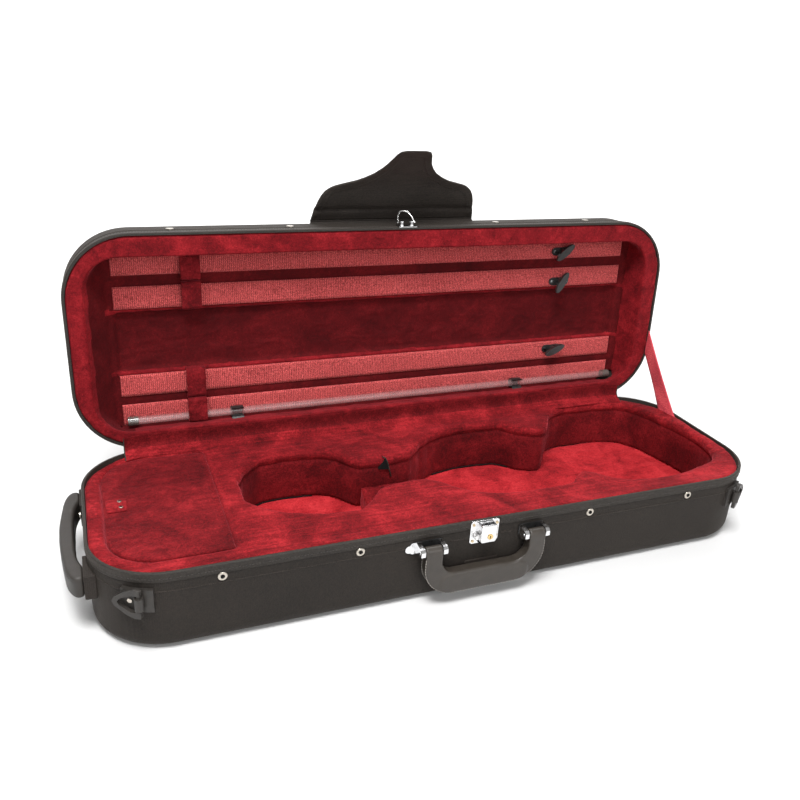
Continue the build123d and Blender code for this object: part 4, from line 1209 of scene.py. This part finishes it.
for n in ("ring_plate_left", "ring_plate_right"):
    node_mat(n, M_PLA2, 0.4)
for n in ("strap_ring_left", "strap_ring_right"):
    node_mat(n, M_PLA2, 0.9)
node_mat("ring_plate_rivets", M_NIC, 0.3)
node_mat("spinner_bases", M_PLA, 0.4)
node_mat("spinner_screws", M_CHR, 0.3)
for i in (1, 2, 3):
    node_mat("bow_spinner_%d" % i, M_PLA, 0.8)
node_mat("string_tube", M_CLR)
node_mat("string_tube_caps", M_CAP, 0.5)
TY, TD = 104.0, 32.6
clips = []
for x0 in (-213.5, 186.0):
    poly = []
    for a in np.linspace(-52, 232, 30):
        poly.append((6.7 * math.cos(math.radians(a)), 6.7 * math.sin(math.radians(a))))
    poly += [(-6.1, -7.6), (-7.4, -8.6)]
    inner = []
    for a in np.linspace(232, -52, 30):
        inner.append((5.15 * math.cos(math.radians(a)), 5.15 * math.sin(math.radians(a))))
    lip_in_l = [(-5.0, -7.6)]
    lip_in_r = [(5.0, -7.6)]
    lip_out_r = [(7.4, -8.6), (6.1, -7.6)]
    prof_c = poly + lip_in_l + inner + lip_in_r + lip_out_r
    V, F = [], []
    n = len(prof_c)
    for xx in (x0, x0 + 15.0):
        for (yy, dd_) in prof_c:
            V.append(lid_pt(xx, TY + yy, PZ + TD + dd_))
    F = [(k, (k + 1) % n, n + (k + 1) % n, n + k) for k in range(n)]
    F += [tuple(range(n))[::-1], tuple(range(n, 2 * n))]
    clips.append(mesh_from("t", V, F, False))
cl = join("tube_clips", clips)
shade(cl, False)
md = cl.modifiers.new("edge", "BEVEL")
md.width = 0.3 * MM
md.segments = 2
md.limit_method = "ANGLE"
md.angle_limit = math.radians(40)
use(cl, M_PLA)
ride(cl, "lid")
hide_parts("string_tube_clips")

# wire hasp loop, bent from round rod
ha = math.radians(135.0)
HY, HZ = -130.5, 99.5
hx = 5.0
uy, uz = -math.sin(ha), -math.cos(ha)
prof = [(-12.3, 0), (-10.2, 0), (-10.1, 2.5), (-9.9, 6.0), (-8.8, 10.2), (-6.6, 12.8), (-6.2, 14.4), (-5.2, 16.2), (-3.0, 17.1), (0, 17.3),
        (3.0, 17.1), (5.2, 16.2), (6.2, 14.4), (6.6, 12.8), (8.8, 10.2), (9.9, 6.0), (10.1, 2.5), (10.2, 0), (12.3, 0)]
cu = bpy.data.curves.new("wire_path", "CURVE")
cu.dimensions = "3D"
sp = cu.splines.new("NURBS")
sp.points.add(len(prof) - 1)
for k, (a, b) in enumerate(prof):
    q = lid_pt(hx + a, HY + uy * b, HZ + uz * b)
    sp.points[k].co = (*q, 1)
sp.order_u = 3
sp.use_endpoint_u = True
sp.resolution_u = 6
cu.bevel_depth = 1.04 * MM
cu.bevel_resolution = 4
cu.use_fill_caps = True
wc = bpy.data.objects.new("wire_tmp", cu)
scene.collection.objects.link(wc)
bpy.context.view_layer.update()
dg = bpy.context.evaluated_depsgraph_get()
me = bpy.data.meshes.new_from_object(wc.evaluated_get(dg))
bpy.data.objects.remove(wc)
wire = link("hasp_wire", me)
bm = bmesh.new()
bm.from_mesh(me)
bmesh.ops.remove_doubles(bm, verts=bm.verts, dist=1e-6)
bmesh.ops.recalc_face_normals(bm, faces=bm.faces)
bm.to_mesh(me)
bm.free()
shade(wire)
use(wire, M_CHR2)
ride(wire, "hasp")
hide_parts("hasp_loop")

# ---------------------------------------------------------------- stage and light
sweep = [(-9.0, -0.0006), (3.0, -0.0006)]
sweep += [(3.0 + 1.8 * math.sin(math.radians(t)), -0.0006 + 1.8 * (1 - math.cos(math.radians(t)))) for t in range(6, 91, 6)]
sweep += [(4.8, 9.0)]
floor_mesh = bpy.data.meshes.new("studio_floor")
floor_mesh.from_pydata([(x, y, z) for y, z in sweep for x in (-12.0, 12.0)], [],
                       [(2 * i, 2 * i + 1, 2 * i + 3, 2 * i + 2) for i in range(len(sweep) - 1)])
for f in floor_mesh.polygons:
    f.use_smooth = True
floor_mat = bpy.data.materials.new("pale_floor")
floor_mat.use_nodes = True
floor_bsdf = floor_mat.node_tree.nodes["Principled BSDF"]
floor_bsdf.inputs["Base Color"].default_value = (0.68, 0.68, 0.68, 1)
floor_bsdf.inputs["Roughness"].default_value = 0.95
floor_bsdf.inputs["Specular IOR Level"].default_value = 0.0
floor_mesh.materials.append(floor_mat)
studio_floor = bpy.data.objects.new("studio_floor", floor_mesh)
scene.collection.objects.link(studio_floor)

world = bpy.data.worlds.new("studio")
scene.world = world
world.use_nodes = True
wt = world.node_tree
bg = wt.nodes["Background"]
bg.inputs[0].default_value = (1.0, 0.985, 0.97, 1)
bg.inputs[1].default_value = 0.4


def area_light(name, loc, target, size, power, size_y=None):
    ld = bpy.data.lights.new(name, "AREA")
    ld.energy = power
    ld.size = size
    if size_y:
        ld.shape = "RECTANGLE"
        ld.size_y = size_y
    o = bpy.data.objects.new(name, ld)
    scene.collection.objects.link(o)
    o.location = loc
    o.rotation_euler = (Vector(target) - Vector(loc)).to_track_quat("-Z", "Y").to_euler()
    return o


area_light("key", (-0.55, -0.75, 2.1), (0.0, 0.0, 0.1), 0.9, 60, 0.7)
area_light("front", (0.2, -2.2, 1.1), (0.05, 0.0, 0.15), 1.6, 22, 1.0)
area_light("back_top", (0.3, 1.1, 2.0), (0.0, 0.1, 0.2), 1.2, 12, 0.6)
area_light("backdrop", (1.6, 1.3, 3.4), (2.6, 4.6, 0.9), 9.0, 460, 1.2)
scene.view_settings.view_transform = "Standard"
